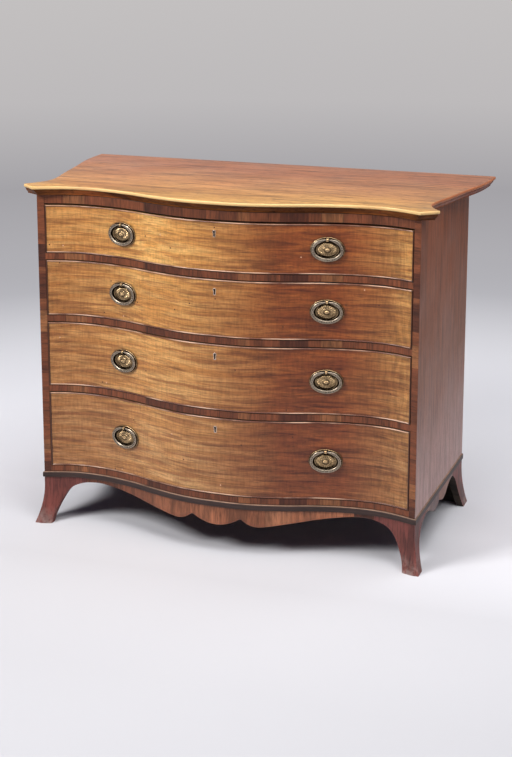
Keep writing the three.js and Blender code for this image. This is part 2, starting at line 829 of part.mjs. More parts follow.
// Keyhole liner: a thin brass wall let into the drawer front
function keyholeLiner(height) {
  const shape = keyholeShape(linerWall);
  shape.holes.push(keyholeShape(0));
  return keyholeBar(shape, frontY(0), linerDepth, height);
}

// The four drawers, from the top one down
for (let i = 0; i < drawerCount; i += 1) {
  const name = `drawer_${i + 1}`;
  const bottom = openingFloors[i] + seatGap;
  const top = openingFloors[i] + drawerOpeningHeights[i] - drawerTopGaps[i];
  const handleHeight = (bottom + top) / 2;
  const keyholeHeight = top - keyholeDrop;
  const boxFloor = bottom + drawerBottomThickness;
  piece(`${name}_front`, drawerFront(bottom, top, keyholeHeight, handleHeight), mahogany);
  piece(`${name}_box`, drawerBox(boxFloor, top - drawerBoxTopDrop), drawerLining);
  piece(`${name}_bottom`, drawerBottom(bottom, boxFloor), drawerLining);
  piece(`${name}_keyhole_liner`, keyholeLiner(keyholeHeight), brass);
  piece(`${name}_lock`, lockCase(frontY(lockWidth / 2) + frontThickness + seatGap, top), steel);
  piece(`${name}_lock_bolt`, lockBolt(top), steel);
  for (const side of [-1, 1]) {
    const group = handleGroup(side, handleHeight);
    const hand = side < 0 ? "left" : "right";
    const plate = piece(`${name}_${hand}_plate`, plateGeometry, brass, group);
    const ring = piece(`${name}_${hand}_ring`, ringGeometry, brass, group);
    plate.position.y = -plateSeat;
    ring.position.y = -plateSeat;
  }
}

// The chest's origin lies midway between the top's front and back edges
const topFront = -centreBulge - topOverhangFront;
chest.position.y = -(topFront + topBack) / 2;

export default chest;
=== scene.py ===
# A serpentine dressing chest: polished mahogany, cock-beaded drawers and cast brass ring handles,
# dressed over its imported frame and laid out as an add-on.
import math

import bmesh
import bpy
from bpy.props import FloatProperty, FloatVectorProperty, IntProperty, PointerProperty
from mathutils import Matrix, Vector


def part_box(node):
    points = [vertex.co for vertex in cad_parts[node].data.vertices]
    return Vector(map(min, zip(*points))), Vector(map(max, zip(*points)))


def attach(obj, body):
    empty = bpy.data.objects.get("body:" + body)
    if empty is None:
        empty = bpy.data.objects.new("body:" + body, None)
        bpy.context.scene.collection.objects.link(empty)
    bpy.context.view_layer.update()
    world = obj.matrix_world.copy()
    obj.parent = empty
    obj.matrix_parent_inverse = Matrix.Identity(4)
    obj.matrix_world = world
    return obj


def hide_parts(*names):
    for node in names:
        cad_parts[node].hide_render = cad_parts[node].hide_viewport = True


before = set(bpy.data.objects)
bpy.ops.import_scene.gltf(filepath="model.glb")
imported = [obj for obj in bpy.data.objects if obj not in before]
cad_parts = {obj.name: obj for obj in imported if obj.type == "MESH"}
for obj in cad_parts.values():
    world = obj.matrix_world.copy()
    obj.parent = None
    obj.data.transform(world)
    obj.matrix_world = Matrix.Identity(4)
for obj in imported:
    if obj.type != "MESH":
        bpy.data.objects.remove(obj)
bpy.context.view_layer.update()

bl_info = {
    "name": "Serpentine Dressing Chest",
    "version": (1, 0, 0),
    "blender": (4, 5, 0),
    "location": "View3D > Sidebar > Chest",
    "description": "Makes the finished pieces of a serpentine dressing chest over its frame",
    "category": "Object",
}

MM = 0.001
DRAWERS = (1, 2, 3, 4)
DIVIDERS = (1, 2, 3)
HANDS = (("left", -1), ("right", 1))

# Sizes read from the frame, in metres
SIDE_LOW, SIDE_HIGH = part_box("case_side_right")
HALF_WIDTH = SIDE_HIGH.x
HALF_OPENING = SIDE_LOW.x
CASE_FOOT = SIDE_LOW.z
CASE_TOP = SIDE_HIGH.z
CASE_BACK = SIDE_HIGH.y
CASE_FRONT = CASE_BACK - 537 * MM
TOP_LOW, TOP_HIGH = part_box("top")
FOOT_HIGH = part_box("front_right_foot")[1]
FOOT_HEIGHT = FOOT_HIGH.z

# The serpentine line from the centre to a corner: places as shares of half the width, and
# depths as shares of the centre's bulge, forward being negative
BULGE = 49.2 * MM
FRONT_PLACE_SHARES = (-0.17, 0, 0.17, 0.34, 0.51, 0.69, 0.84, 1)
FRONT_DEPTH_SHARES = (-0.89, -1, -0.89, -0.435, 0.18, 0.545, 0.505, 0)

# The top's outline: overhangs and reaches, and its side line as shares of each stretch
TOP_OVERHANG = CASE_FRONT - BULGE - TOP_LOW.y
TOP_CORNER_OVERHANG = 22 * MM
TOP_CORNER_POWER = 14
TOP_CORNER = HALF_WIDTH + 2.5 * MM
TOP_CANT = HALF_WIDTH + 43 * MM
TOP_CANT_BACK = 12 * MM
TOP_NECK = HALF_WIDTH + 3.5 * MM
TOP_NECK_BACK = 100 * MM
HOLLOW_PLACE_SHARES = (0, 0.2, 0.42, 0.7, 1)
HOLLOW_REACH_SHARES = (1, 0.68, 0.37, 0.1, 0)
FLARE_PLACE_SHARES = (0, 0.07, 0.14, 0.22, 0.31, 0.42, 0.53, 0.64, 0.75, 0.87, 1)
FLARE_REACH_SHARES = (0, 0.05, 0.14, 0.26, 0.375, 0.5, 0.64, 0.8, 0.92, 0.985, 1)

# The moulded edge of the top: height up the edge and inset, in millimetres
TOP_PROFILE = (
    (0, 11.5), (2.6, 11.5), (3.4, 11), (5.2, 9.2), (7.5, 7.2), (10, 5.7), (12.5, 4.7), (14.6, 4.2),
    (14.9, 3.2), (15.3, 1.6), (16.2, 0.5), (17.6, 0), (20.6, 0), (22.4, 0.6), (23.5, 1.7),
    (24, 3.2),
)

# The aprons' lower lines, as shares of half the width or depth and of each apron's drop
APRON_DROP = 51 * MM
APRON_PLACE_SHARES = (0.128, 0.166, 0.208, 0.25, 0.337, 0.434, 0.545, 0.644, 0.705, 0.781)
APRON_DROP_SHARES = (0.56, 0.82, 0.945, 0.92, 0.765, 0.59, 0.39, 0.25, 0.2, 0.255)
SIDE_APRON_DROP = 41 * MM
SIDE_APRON_PLACE_SHARES = (0, 0.08, 0.17, 0.26, 0.37, 0.495, 0.5717)
SIDE_APRON_DROP_SHARES = (0.68, 0.9, 1, 0.88, 0.54, 0.33, 0.317)

# The bracket feet
BRACKET_REACH = 115 * MM
ARCH_TOP = 114 * MM
SPLAY_HEIGHT = 112 * MM
SPLAY_POWER = 2.1
BRACKET_RAKE = 25 * MM
FLOOR_ARRIS = 0.6 * MM

# How a foot's wing sweeps out: the share of the slow sweep, and the powers of the slow sweep
# and of the quick turn into the apron
FRONT_SWEEP = (0.58, 1.6, 12)
SIDE_SWEEP = (0.45, 1, 6)

# The splay and each leg's width at the floor, the wings' thickness and the back brackets
SPLAY_SIDE = FOOT_HIGH.x - HALF_WIDTH
SPLAY_FRONT = 27 * MM
APRON_THICKNESS = 20 * MM
FRONT_LEG = 27 * MM
FRONT_LEG_SIDE = 12 * MM
REAR_LEG_SIDE = 47 * MM
BACK_BRACKET = 120 * MM
BACK_BRACKET_THICKNESS = 18 * MM

# The handles: half sizes of the plate and the ring, and the pin's height, in metres
PLATE_WIDTH = 44 * MM
PLATE_HEIGHT = 32 * MM
RING_WIDTH = 37 * MM
RING_HEIGHT = 26 * MM
RING_STAND_OFF = 5.7 * MM
PIN_HALF = 4.6 * MM
PIN_ANGLE = math.acos(PIN_HALF / RING_WIDTH)
PIN_HEIGHT = RING_HEIGHT * math.sin(PIN_ANGLE)
HANDLE_X = 282 * MM
POST_RADIUS = 2.5 * MM
POST_PAST_NUT = 3 * MM
NUT_RADIUS = 6 * MM
NUT_THICKNESS = 4 * MM
NUT_GAP = 0.3 * MM

# How finely a curve is cut along the front, the front apron and a side apron
FRONT_STEPS = 132
APRON_STEPS = 240
SIDE_APRON_STEPS = 120

# The base band's upper edge: how far down from the case's foot and its inset, in millimetres
BAND_PROFILE = ((4, 0), (2.4, 0.25), (1, 0.9), (0.2, 1.8), (0, 2.6))

# The back boards, the base band, the rails, the drawer fronts, the keyholes, the nails and
# the handles' seats
BACK_THICKNESS = 12 * MM
BOARD_WIDTH = 2 * HALF_OPENING / 5
BAND_PROJECTION = 3.5 * MM
BAND_FRONT_DEPTH = 96 * MM
BAND_SIDE_DEPTH = 42 * MM
RAIL_ARRIS = 1.8 * MM
FRONT_ARRIS = 0.4 * MM
KEYHOLE_SPARE = 0.1 * MM
NAIL_MARGIN = 12 * MM
NAIL_END_MARGIN = 14 * MM
BOARD_GROOVE = 1.6 * MM
BOARD_GROOVE_DEPTH = 3 * MM
MORTISE_SPARE = 1.5 * MM
MORTISE_DEPTH = 8 * MM
FRONT_THICKNESS = 24 * MM
KEYHOLE_RADIUS = 2.9 * MM
KEYHOLE_SLOT = 3.2 * MM
KEYHOLE_LENGTH = 11.9 * MM
LINER_WALL = 2 * MM
HANDLE_SEAT = -232.65 * MM
HANDLE_TURN = 0.24247
PLATE_SEAT = 2.439 * MM

# A backplate from its middle to its rim: share of its half size, depth in millimetres, how much
# deeper its lobes swell, and how many lobes go round
PLATE_PROFILE = (
    (0.012, 9.0, 0, 0), (0.05, 8.9, 0, 0), (0.085, 8.4, 0.5, 8), (0.12, 7.6, 0.9, 8),
    (0.15, 6.2, 0.9, 8), (0.17, 5.0, 0.4, 8), (0.19, 4.4, 0, 0), (0.215, 4.3, 0, 0),
    (0.23, 4.9, 0, 0), (0.25, 5.1, 0, 0), (0.27, 4.8, 0, 0), (0.285, 4.0, 0.5, 22),
    (0.33, 3.8, 1.3, 22), (0.4, 3.5, 1.6, 22), (0.47, 3.0, 1.5, 22), (0.53, 2.3, 1.0, 22),
    (0.565, 1.6, 0.3, 22), (0.58, 1.3, 0, 0), (0.62, 1.2, 0, 0), (0.635, 1.8, 0, 0),
    (0.66, 2.0, 0, 0), (0.685, 1.6, 0, 0), (0.7, 1.1, 0, 0), (0.78, 0.9, 0, 0), (0.86, 1.0, 0, 0),
    (0.91, 1.4, 0, 0), (0.94, 1.7, 0, 0), (0.97, 1.7, 0, 0), (0.99, 1.3, 0, 0), (1.0, 0.7, 0, 0),
    (1.0, 0.0, 0, 0), (0.012, 0.0, 0, 0),
)

# The camera of the photograph's view
CAMERA_PLACE = (1.466, -4.0439, 1.689)
CAMERA_PITCH = 12.25
CAMERA_YAW = 19.842
CAMERA_SHIFT = -0.16975


def colour(code):
    """Linear colour of an sRGB hex code."""
    parts = [int(code[i:i + 2], 16) / 255 for i in (1, 3, 5)]
    return tuple(c / 12.92 if c <= 0.04045 else ((c + 0.055) / 1.055) ** 2.4 for c in parts)


def colour_property(name, description, code):
    """A colour that a user can change, with its default as an sRGB hex code."""
    return FloatVectorProperty(
        name=name, description=description, subtype="COLOR", size=3, min=0, max=1,
        default=colour(code),
    )


class ChestColours(bpy.types.PropertyGroup):
    """Colours of the chest's woods and metals."""

    # The fronts' gold and red colours are lit and shaded copies of one mahogany, for painted light
    gold_light: colour_property(
        "Gold, light", "Pale streaks where the fronts are golden", "#fac272"
    )
    gold: colour_property("Gold", "Fronts where they are golden", "#e8a657")
    gold_dark: colour_property("Gold, dark", "Dark streaks where the fronts are golden", "#bb7b42")
    red_light: colour_property("Red, light", "Pale streaks where the fronts are red", "#ac5d2a")
    red: colour_property("Red", "Fronts where they are red", "#904720")
    red_dark: colour_property("Red, dark", "Dark streaks where the fronts are red", "#662c13")
    # Streak also paints the shade on the upright lengths of the cock beads
    streak: colour_property("Streak", "Dents and dark streaks", "#4e2818")
    # The top's colours from front to back carry painted light, paler towards the front
    top_gold: colour_property("Top, front", "The top near its front edge", "#b68a4a")
    top_mid: colour_property("Top, middle", "The top in its middle", "#a57245")
    top_red: colour_property("Top, back", "The top near its back edge", "#905a3d")
    # The rim colour is a painted highlight on the lip of the top's edge
    top_rim_highlight: colour_property("Top, rim", "Rubbed lip of the top's edge", "#f0c686")
    # The sides' colours carry painted light: shade near the top, the floor's reflection near the
    # floor
    side_top_shade: colour_property("Side, top", "The sides near the top", "#854727")
    side: colour_property("Side", "The sides in the middle", "#8a563c")
    side_floor_reflection: colour_property("Side, foot", "The sides near the floor", "#b8928a")
    band_light: colour_property("Crossband, light", "Pale leaves of the crossband", "#a56c42")
    band: colour_property("Crossband", "Most leaves of the crossband", "#82472a")
    band_dark: colour_property("Crossband, dark", "Dark leaves of the crossband", "#5a2c19")
    apron_light: colour_property("Apron, light", "Pale leaves of the aprons", "#c6865f")
    apron: colour_property("Apron", "Most leaves of the aprons", "#b6714e")
    apron_side: colour_property("Apron, side", "The side aprons", "#6d4a42")
    base: colour_property("Base band", "The ebonised band round the base", "#3f2f2b")
    foot: colour_property("Foot", "Veneer of the feet", "#7a3f37")
    scuff: colour_property("Scuff", "Scuffed wood of the feet", "#9d8a82")
    # The beads' pale colour is partly rubbed wear and partly a painted highlight; it also paints
    # the fronts' chips and the base band's arris
    bead: colour_property("Bead", "Rubbed cock beads", "#d8ab8c")
    bead_dark: colour_property("Bead, dark", "Cock beads where the polish is left", "#74412b")
    lining: colour_property("Lining, light", "Pale grain of the oak linings", "#c69a70")
    lining_mid: colour_property("Lining", "Oak of the drawer linings", "#b08359")
    lining_dark: colour_property("Lining, dark", "Dark grain of the oak linings", "#8a5f41")
    carcase: colour_property("Carcase, light", "Pale grain of the pine", "#a47c58")
    carcase_mid: colour_property("Carcase", "Pine of the back and the dust boards", "#8d6648")
    carcase_dark: colour_property("Carcase, dark", "Dark grain of the pine", "#6b4933")
    brass: colour_property("Brass", "Rubbed brass", "#c2a47c")
    silvery: colour_property("Brass, worn", "Greyer brass of the handles' rings", "#a39584")
    # Patina also paints the shade under the handles' rings and round their plates
    patina: colour_property("Patina", "Tarnish in the hollows of the brass", "#160f0b")


class ChestSizes(bpy.types.PropertyGroup):
    """Small sizes of the chest's finish."""

    bead_radius: FloatProperty(
        name="Cock bead", description="Radius of the bead round a drawer", default=1.5 * MM,
        unit="LENGTH",
    )
    leaf_width: FloatProperty(
        name="Veneer leaf", description="Width of a leaf of crossband", default=52 * MM,
        unit="LENGTH",
    )
    ring_beads: IntProperty(
        name="Ring leaves", description="Cast leaves round a handle's ring", default=26
    )


class ChestStudio(bpy.types.PropertyGroup):
    """The studio round the chest."""

    key_power: FloatProperty(
        name="Key", description="Power of the soft box at the left", default=162, unit="POWER"
    )
    top_power: FloatProperty(
        name="Overhead", description="Power of the soft box overhead", default=50, unit="POWER"
    )
    fill_power: FloatProperty(
        name="Fill", description="Power of the soft box high at the right", default=60,
        unit="POWER",
    )
    back_power: FloatProperty(
        name="Back", description="Power of the soft box behind the chest", default=24, unit="POWER"
    )
    sky_strength: FloatProperty(
        name="Sky", description="Strength of the even light from all round", default=0.05
    )
    lens: FloatProperty(
        name="Lens", description="Focal length", default=77.236, unit="CAMERA"
    )
    sky: colour_property("Sky colour", "Colour of the even light", "#a4b4ff")
    floor: colour_property("Floor", "Floor beside the chest", "#edecf0")
    middle: colour_property("Floor, behind", "Floor 3 m behind the chest", "#b5b4b9")
    dip: colour_property("Floor, darkest", "Floor 5 m behind the chest", "#a4a2a6")
    wall: colour_property("Floor, farther", "Floor 10 m behind the chest", "#bdbabb")
    far: colour_property("Distance", "Floor and air far behind the chest", "#c3c0c0")


def curve_through(places, values, place):
    """Smooth curve through points given in order of place."""
    last = len(places) - 1
    if place <= places[0]:
        return values[0]
    if place >= places[last]:
        return values[last]
    i = max(k for k in range(last) if places[k] <= place)

    def slope(k):
        a, b = max(k - 1, 0), min(k + 1, last)
        return (values[b] - values[a]) / (places[b] - places[a])

    span = places[i + 1] - places[i]
    t = (place - places[i]) / span
    bulk = values[i] * (1 + 2 * t) * (1 - t) ** 2 + values[i + 1] * t * t * (3 - 2 * t)
    return bulk + span * (slope(i) * t * (1 - t) ** 2 - slope(i + 1) * t * t * (1 - t))


def front_y(x):
    """Depth of the serpentine front at x."""
    share = curve_through(FRONT_PLACE_SHARES, FRONT_DEPTH_SHARES, abs(x) / HALF_WIDTH)
    return CASE_FRONT + BULGE * share


def steps(start, end, count):
    """Even steps from start to end, both included."""
    return [start + (end - start) * i / count for i in range(count + 1)]


def loft(rings, closed=False):
    """Points and faces through rings of points, with flat ends unless the rings close."""
    count = len(rings[0])
    points = [tuple(p) for ring in rings for p in ring]
    faces = []
    for r in range(len(rings) if closed else len(rings) - 1):
        here, there = r * count, (r + 1) % len(rings) * count
        for i in range(count):
            j = (i + 1) % count
            faces.append((here + i, here + j, there + j, there + i))
    if not closed:
        faces.append(tuple(range(count)))
        faces.append(tuple(range(len(points) - count, len(points))))
    return points, faces


def mesh_of(name, *shapes):
    """One mesh of closed shapes, with their doubles merged and their faces turned outwards."""
    whole = bmesh.new()
    for points, faces in shapes:
        part = bmesh.new()
        corners = [part.verts.new(p) for p in points]
        for face in faces:
            part.faces.new([corners[i] for i in face])
        bmesh.ops.remove_doubles(part, verts=part.verts, dist=1e-6)
        bmesh.ops.dissolve_degenerate(part, edges=part.edges, dist=1e-6)
        bmesh.ops.recalc_face_normals(part, faces=part.faces)
        scrap = bpy.data.meshes.new("scrap")
        part.to_mesh(scrap)
        part.free()
        whole.from_mesh(scrap)
        bpy.data.meshes.remove(scrap)
    mesh = bpy.data.meshes.new(name)
    whole.to_mesh(mesh)
    whole.free()
    return mesh


def smoothed(mesh, degrees=35):
    """The mesh shaded smooth, with edges sharper than an angle left crisp."""
    mesh.shade_smooth()
    mesh.set_sharp_from_angle(angle=math.radians(degrees))
    return mesh


def rounded(piece, width, segments=2, degrees=40):
    """Round a piece's sharp edges with a bevel."""
    bevel = piece.modifiers.new("Rounding", "BEVEL")
    bevel.width = width
    bevel.segments = segments
    bevel.limit_method = "ANGLE"
    bevel.angle_limit = math.radians(degrees)
    bevel.harden_normals = True
    piece.data.shade_smooth()


def placed(name, mesh, body, nodes=()):
    """A finished piece that rides on a body and stands for frame nodes."""
    piece = bpy.data.objects.new(name, mesh)
    bpy.context.scene.collection.objects.link(piece)
    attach(piece, body)
    if nodes:
        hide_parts(*nodes)
    return piece


def dressed(mesh, *finishes):
    """The mesh with its finishes in its material slots."""
    for finish in finishes:
        mesh.materials.append(finish)
    return mesh


def baked(holder):
    """Plain mesh of an object with its modifiers, and the object gone."""
    graph = bpy.context.evaluated_depsgraph_get()
    mesh = bpy.data.meshes.new_from_object(holder.evaluated_get(graph))
    bpy.data.objects.remove(holder)
    return mesh


def add(tree, kind, inputs=(), stops=(), **options):
    """Add a node with its options, its ramp's stops and its inputs by name or in order."""
    node = tree.nodes.new(kind)
    for option, value in options.items():
        setattr(node, option, value)
    for i, (place, shade) in enumerate(stops):
        elements = node.color_ramp.elements
        element = elements[i] if i < len(elements) else elements.new(place)
        element.position = place
        element.color = (*shade, 1) if hasattr(shade, "__len__") else (shade, shade, shade, 1)
    for key, value in inputs.items() if isinstance(inputs, dict) else enumerate(inputs):
        socket = node.inputs[key]
        if isinstance(value, bpy.types.NodeSocket):
            tree.links.new(value, socket)
        elif socket.type == "RGBA":
            socket.default_value = (*value, 1)
        else:
            socket.default_value = value
    return node.outputs


# Kinds of node that the finishes use often
COORDS = "ShaderNodeTexCoord"
RAMP = "ShaderNodeValToRGB"
MIX = "ShaderNodeMix"
MATHS = "ShaderNodeMath"
VECTORS = "ShaderNodeVectorMath"
NOISE = "ShaderNodeTexNoise"
SPLIT = "ShaderNodeSeparateXYZ"
JOIN = "ShaderNodeCombineXYZ"
MAP_RANGE = "ShaderNodeMapRange"
CREVICES = "ShaderNodeAmbientOcclusion"
OUTPUT = "ShaderNodeOutputMaterial"

# Sockets of the Mix node when it mixes colours, and its settings
FACTOR, FIRST, SECOND, RESULT = 0, 6, 7, 2
MIXED = {"data_type": "RGBA"}
MULTIPLIED = {"data_type": "RGBA", "blend_type": "MULTIPLY"}


def new_material(name):
    """A material with an empty tree, and the tree."""
    material = bpy.data.materials.new(name)
    material.use_nodes = True
    material.node_tree.nodes.clear()
    return material, material.node_tree


def streaks(tree, coords, size, detail, distortion=0.0, stops=()):
    """Noise drawn out along a grain, by its length on X, width on Z and depth on Y, and toned."""
    length, width, thickness = size
    scale = (1 / length, 1 / thickness, 1 / width)
    along = add(tree, "ShaderNodeMapping", {"Vector": coords, "Scale": scale})[0]
    inputs = {"Vector": along, "Scale": 1.0, "Detail": detail, "Distortion": distortion}
    noise = add(tree, NOISE, inputs)[0]
    return add(tree, RAMP, [noise], stops)[0] if stops else noise


def grain_coords(tree, order="XYZ", coords=None):
    """Coordinates in the order of a board's grain, its thickness and its width."""
    if coords is None:
        coords = add(tree, COORDS)["Object"]
    parts = add(tree, SPLIT, [coords])
    return add(tree, JOIN, [parts[axis] for axis in order])[0]


def grained(tree, coords, tones, figure=0.3, line=0.1, contrast=1.0):
    """Mahogany grain along X: ribbon figure, fine lines and pores. Its colour and its height."""
    light, mid, dark = tones
    stops = ((0.34, dark), (0.48, mid), (0.64, light))
    figured = streaks(tree, coords, (figure, 24 * MM, 60 * MM), 3.0, 0.6, stops)
    stops = ((0.33, 1 - 0.4 * contrast), (0.5, 0.98), (0.68, 1 + 0.16 * contrast))
    lines = streaks(tree, coords, (line, 4.5 * MM, 20 * MM), 5.0, 0.3, stops)
    # Pores are about 0.1 mm wide, and are drawn 1.3 mm wide so that they show
    stops = ((0.36, 1 - 0.42 * contrast), (0.44, 1.0))
    pores = streaks(tree, coords, (22 * MM, 1.3 * MM, 4 * MM), 2.0, 0.0, stops)
    grain = add(tree, MIX, {FACTOR: 0.8, FIRST: lines, SECOND: pores}, **MULTIPLIED)[RESULT]
    shade = add(tree, MIX, {FACTOR: 1.0, FIRST: figured, SECOND: grain}, **MULTIPLIED)[RESULT]
    return shade, grain


def numbered(tree, coords, number):
    """Coordinates shifted by each leaf's or board's number, so that no two match, and its tone."""
    whole = add(tree, MATHS, [number], operation="FLOOR")[0]
    tone = add(tree, "ShaderNodeTexWhiteNoise", {"W": whole}, noise_dimensions="1D")
    shift = add(tree, VECTORS, {0: tone["Color"], "Scale": 3.0}, operation="SCALE")[0]
    return add(tree, VECTORS, (coords, shift), operation="ADD")[0], tone["Value"]


def leaves(tree, coords, axis, width):
    """Veneer leaves laid side by side: shifted coordinates, a tone for each, and their joints."""
    place = add(tree, SPLIT, [coords])[axis]
    wander = add(
        tree, NOISE, {"W": place, "Scale": 0.8 / width, "Detail": 0.0}, noise_dimensions="1D"
    )[0]
    even = add(tree, MATHS, (place, 1 / width), operation="MULTIPLY")[0]
    uneven = add(tree, MATHS, (wander, 1.6, even), operation="MULTIPLY_ADD")[0]
    within = add(tree, MATHS, [uneven], operation="FRACT")[0]
    joint = add(tree, RAMP, [within], ((0.0, 0.4), (0.014, 1.0), (0.986, 1.0), (1.0, 0.4)))[0]
    moved, tone = numbered(tree, coords, uneven)
    return moved, tone, joint


def nicks(tree, coords, across, up, spacing, size, chance=0.55):
    """Sparse small marks on a face that lies along two axes: 1 in a mark and 0 elsewhere."""
    parts = add(tree, SPLIT, [coords])
    flat = add(tree, JOIN, (parts[across], parts[up]))[0]
    cells = add(
        tree, "ShaderNodeTexVoronoi", {"Vector": flat, "Scale": 1 / spacing},
        voronoi_dimensions="2D",
    )
    near = add(tree, MATHS, (cells["Distance"], size / spacing), operation="LESS_THAN")[0]
    draw = add(tree, SPLIT, [cells["Color"]])["X"]
    kept = add(tree, MATHS, (draw, chance), operation="LESS_THAN")[0]
    return add(tree, MATHS, (near, kept), operation="MULTIPLY")[0]


def surfaced(tree, height, strength, depth, settings):
    """A shader with its settings by name, and a bump of a depth from a height."""
    bump = add(tree, "ShaderNodeBump", {"Height": height, "Strength": strength, "Distance": depth})
    return add(tree, "ShaderNodeBsdfPrincipled", {"Normal": bump[0], **settings})[0]


def wooden(tree, base, height, depth, roughness, gloss=0.5, coat=0.0):
    """End a wood's tree with its shader: a bump from its grain, and a coat where it's polished."""
    shader = surfaced(tree, height, 0.4, depth, {
        "Base Color": base, "Roughness": roughness, "IOR": 1.5, "Specular IOR Level": gloss,
        "Coat Weight": coat, "Coat Roughness": 0.2, "Coat IOR": 1.5,
    })
    add(tree, OUTPUT, [shader])


def metallic(tree, base, height, strength, depth, roughness):
    """End a metal's tree with its shader, and a bump from its casting or filing."""
    shader = surfaced(
        tree, height, strength, depth,
        {"Base Color": base, "Metallic": 1.0, "Roughness": roughness},
    )
    add(tree, OUTPUT, [shader])


def crevice_shaded(tree, base, reach=5 * MM):
    """The colour with painted shade: darker in crevices beside beads, mounts and gaps, where the
    ambient occlusion finds them.
    """
    clear = add(tree, CREVICES, {"Distance": reach}, samples=6)["AO"]
    # Painted shade where the ambient occlusion finds a crevice
    dust = add(tree, RAMP, [clear], ((0.5, 0.3), (0.9, 1.0)))[0]
    return add(tree, MIX, {FACTOR: 1.0, FIRST: base, SECOND: dust}, **MULTIPLIED)[RESULT]


def worn_roughness(tree, coords, smooth, dull):
    """Roughness that drifts between a smoother and a duller polish, in patches of 120 mm."""
    patches = add(tree, NOISE, {"Vector": coords, "Scale": 1 / 0.12, "Detail": 3.0})[0]
    return add(tree, MAP_RANGE, (patches, 0.3, 0.7, smooth, dull))[0]


# Painted light along the fronts from the left end to the right: golden where the serpentine faces
# the light from the left, red where it turns away
FRONT_PAINTED_LIGHT = (
    (0.02, 0.55), (0.12, 0.6), (0.22, 0.85), (0.33, 1.0), (0.43, 0.84), (0.5, 0.57), (0.57, 0.3),
    (0.66, 0.04), (0.8, 0.0), (0.9, 0.3), (0.97, 0.75),
)


def front_mahogany(colours):
    """Drawer fronts: figured Cuban mahogany under old French polish, glossy but not glassy."""
    material, tree = new_material("french_polished_mahogany_fronts")
    coords = grain_coords(tree)
    parts = add(tree, SPLIT, [coords])
    along = add(tree, MAP_RANGE, (parts["X"], -HALF_WIDTH, HALF_WIDTH))[0]
    # The painted change from gold to red wanders by about 25 mm to each side
    drift = add(tree, NOISE, {"Vector": coords, "Scale": 1 / 0.15, "Detail": 3.0})[0]
    wandering = add(tree, MATHS, (drift, 0.12, along), operation="MULTIPLY_ADD")[0]
    centred = add(tree, MATHS, (wandering, 0.06), operation="SUBTRACT")[0]
    tone = add(tree, RAMP, [centred], FRONT_PAINTED_LIGHT)[0]
    # The grain rises and falls by a few millimetres in waves of 250 mm
    wave = add(tree, NOISE, {"Vector": coords, "Scale": 1 / 0.25, "Detail": 1.0})[1]
    lift = add(tree, VECTORS, {0: wave, "Scale": 0.018}, operation="SCALE")[0]
    waved = add(tree, VECTORS, (coords, lift), operation="ADD")[0]
    # Lit and shaded copies of the mahogany, gold for lit and red for shaded, mixed by the painted
    # light
    light, base, dark = [
        add(tree, MIX, {FACTOR: tone, FIRST: red, SECOND: gold}, **MIXED)[RESULT]
        for red, gold in (
            (colours.red_light, colours.gold_light), (colours.red, colours.gold),
            (colours.red_dark, colours.gold_dark),
        )
    ]
    lit, shadowed, dashed = [
        streaks(tree, waved, size, detail, distortion, stops)
        for size, detail, distortion, stops in (
            ((0.24, 17 * MM, 60 * MM), 6.0, 0.6, ((0.42, 0.0), (0.6, 1.0))),
            ((0.17, 10 * MM, 50 * MM), 6.0, 0.5, ((0.36, 0.85), (0.5, 0.0))),
            ((45 * MM, 3 * MM, 50 * MM), 4.0, 0.4, ((0.36, 0.5), (0.46, 0.0))),
        )
    ]
    # Painted shade: the lower drawers are darker and pinker, as less of the light from above
    # reaches them
    height = add(tree, MAP_RANGE, (parts["Z"], 0.2, 0.9))[0]
    painted_low_shade = add(tree, RAMP, [height], (
        (0.1, (0.74, 0.72, 0.9)), (0.38, (0.84, 0.8, 0.86)), (0.68, (0.84, 0.79, 0.77)),
        (0.82, 1.0),
    ))[0]
    shade, grain = grained(tree, waved, (1, 0.97, 0.9), figure=0.26, line=0.09, contrast=0.9)
    # Fiddleback ripples across the grain, about 5 mm apart, and bolder flames at the right end
    stops = ((0.34, 0.78), (0.6, 1.0))
    rippled = streaks(tree, coords, (5 * MM, 28 * MM, 40 * MM), 3.0, 0.3, stops)
    stops = ((0.36, 0.62), (0.6, 1.0))
    flamed = streaks(tree, waved, (12 * MM, 60 * MM, 40 * MM), 3.0, 0.9, stops)
    right = add(tree, RAMP, [centred], ((0.84, 0.0), (0.93, 0.75)))[0]
    dents = nicks(tree, coords, "X", "Z", spacing=130 * MM, size=1.9 * MM)
    chips = nicks(tree, waved, "X", "Z", spacing=170 * MM, size=1.8 * MM, chance=0.4)
    for factor, over, mode in (
        (lit, light, MIXED), (shadowed, dark, MIXED), (dashed, dark, MIXED),
        (1.0, painted_low_shade, MULTIPLIED), (0.9, shade, MULTIPLIED), (0.9, rippled, MULTIPLIED),
        (right, flamed, MULTIPLIED), (dents, colours.streak, MIXED), (chips, colours.bead, MIXED),
    ):
        base = add(tree, MIX, {FACTOR: factor, FIRST: base, SECOND: over}, **mode)[RESULT]
    roughness = worn_roughness(tree, coords, smooth=0.34, dull=0.46)
    # Painted shade in the crevices beside the beads, the keyhole and the handles
    wooden(tree, crevice_shaded(tree, base), grain, 0.25 * MM, roughness, gloss=0.45, coat=0.06)
    return material


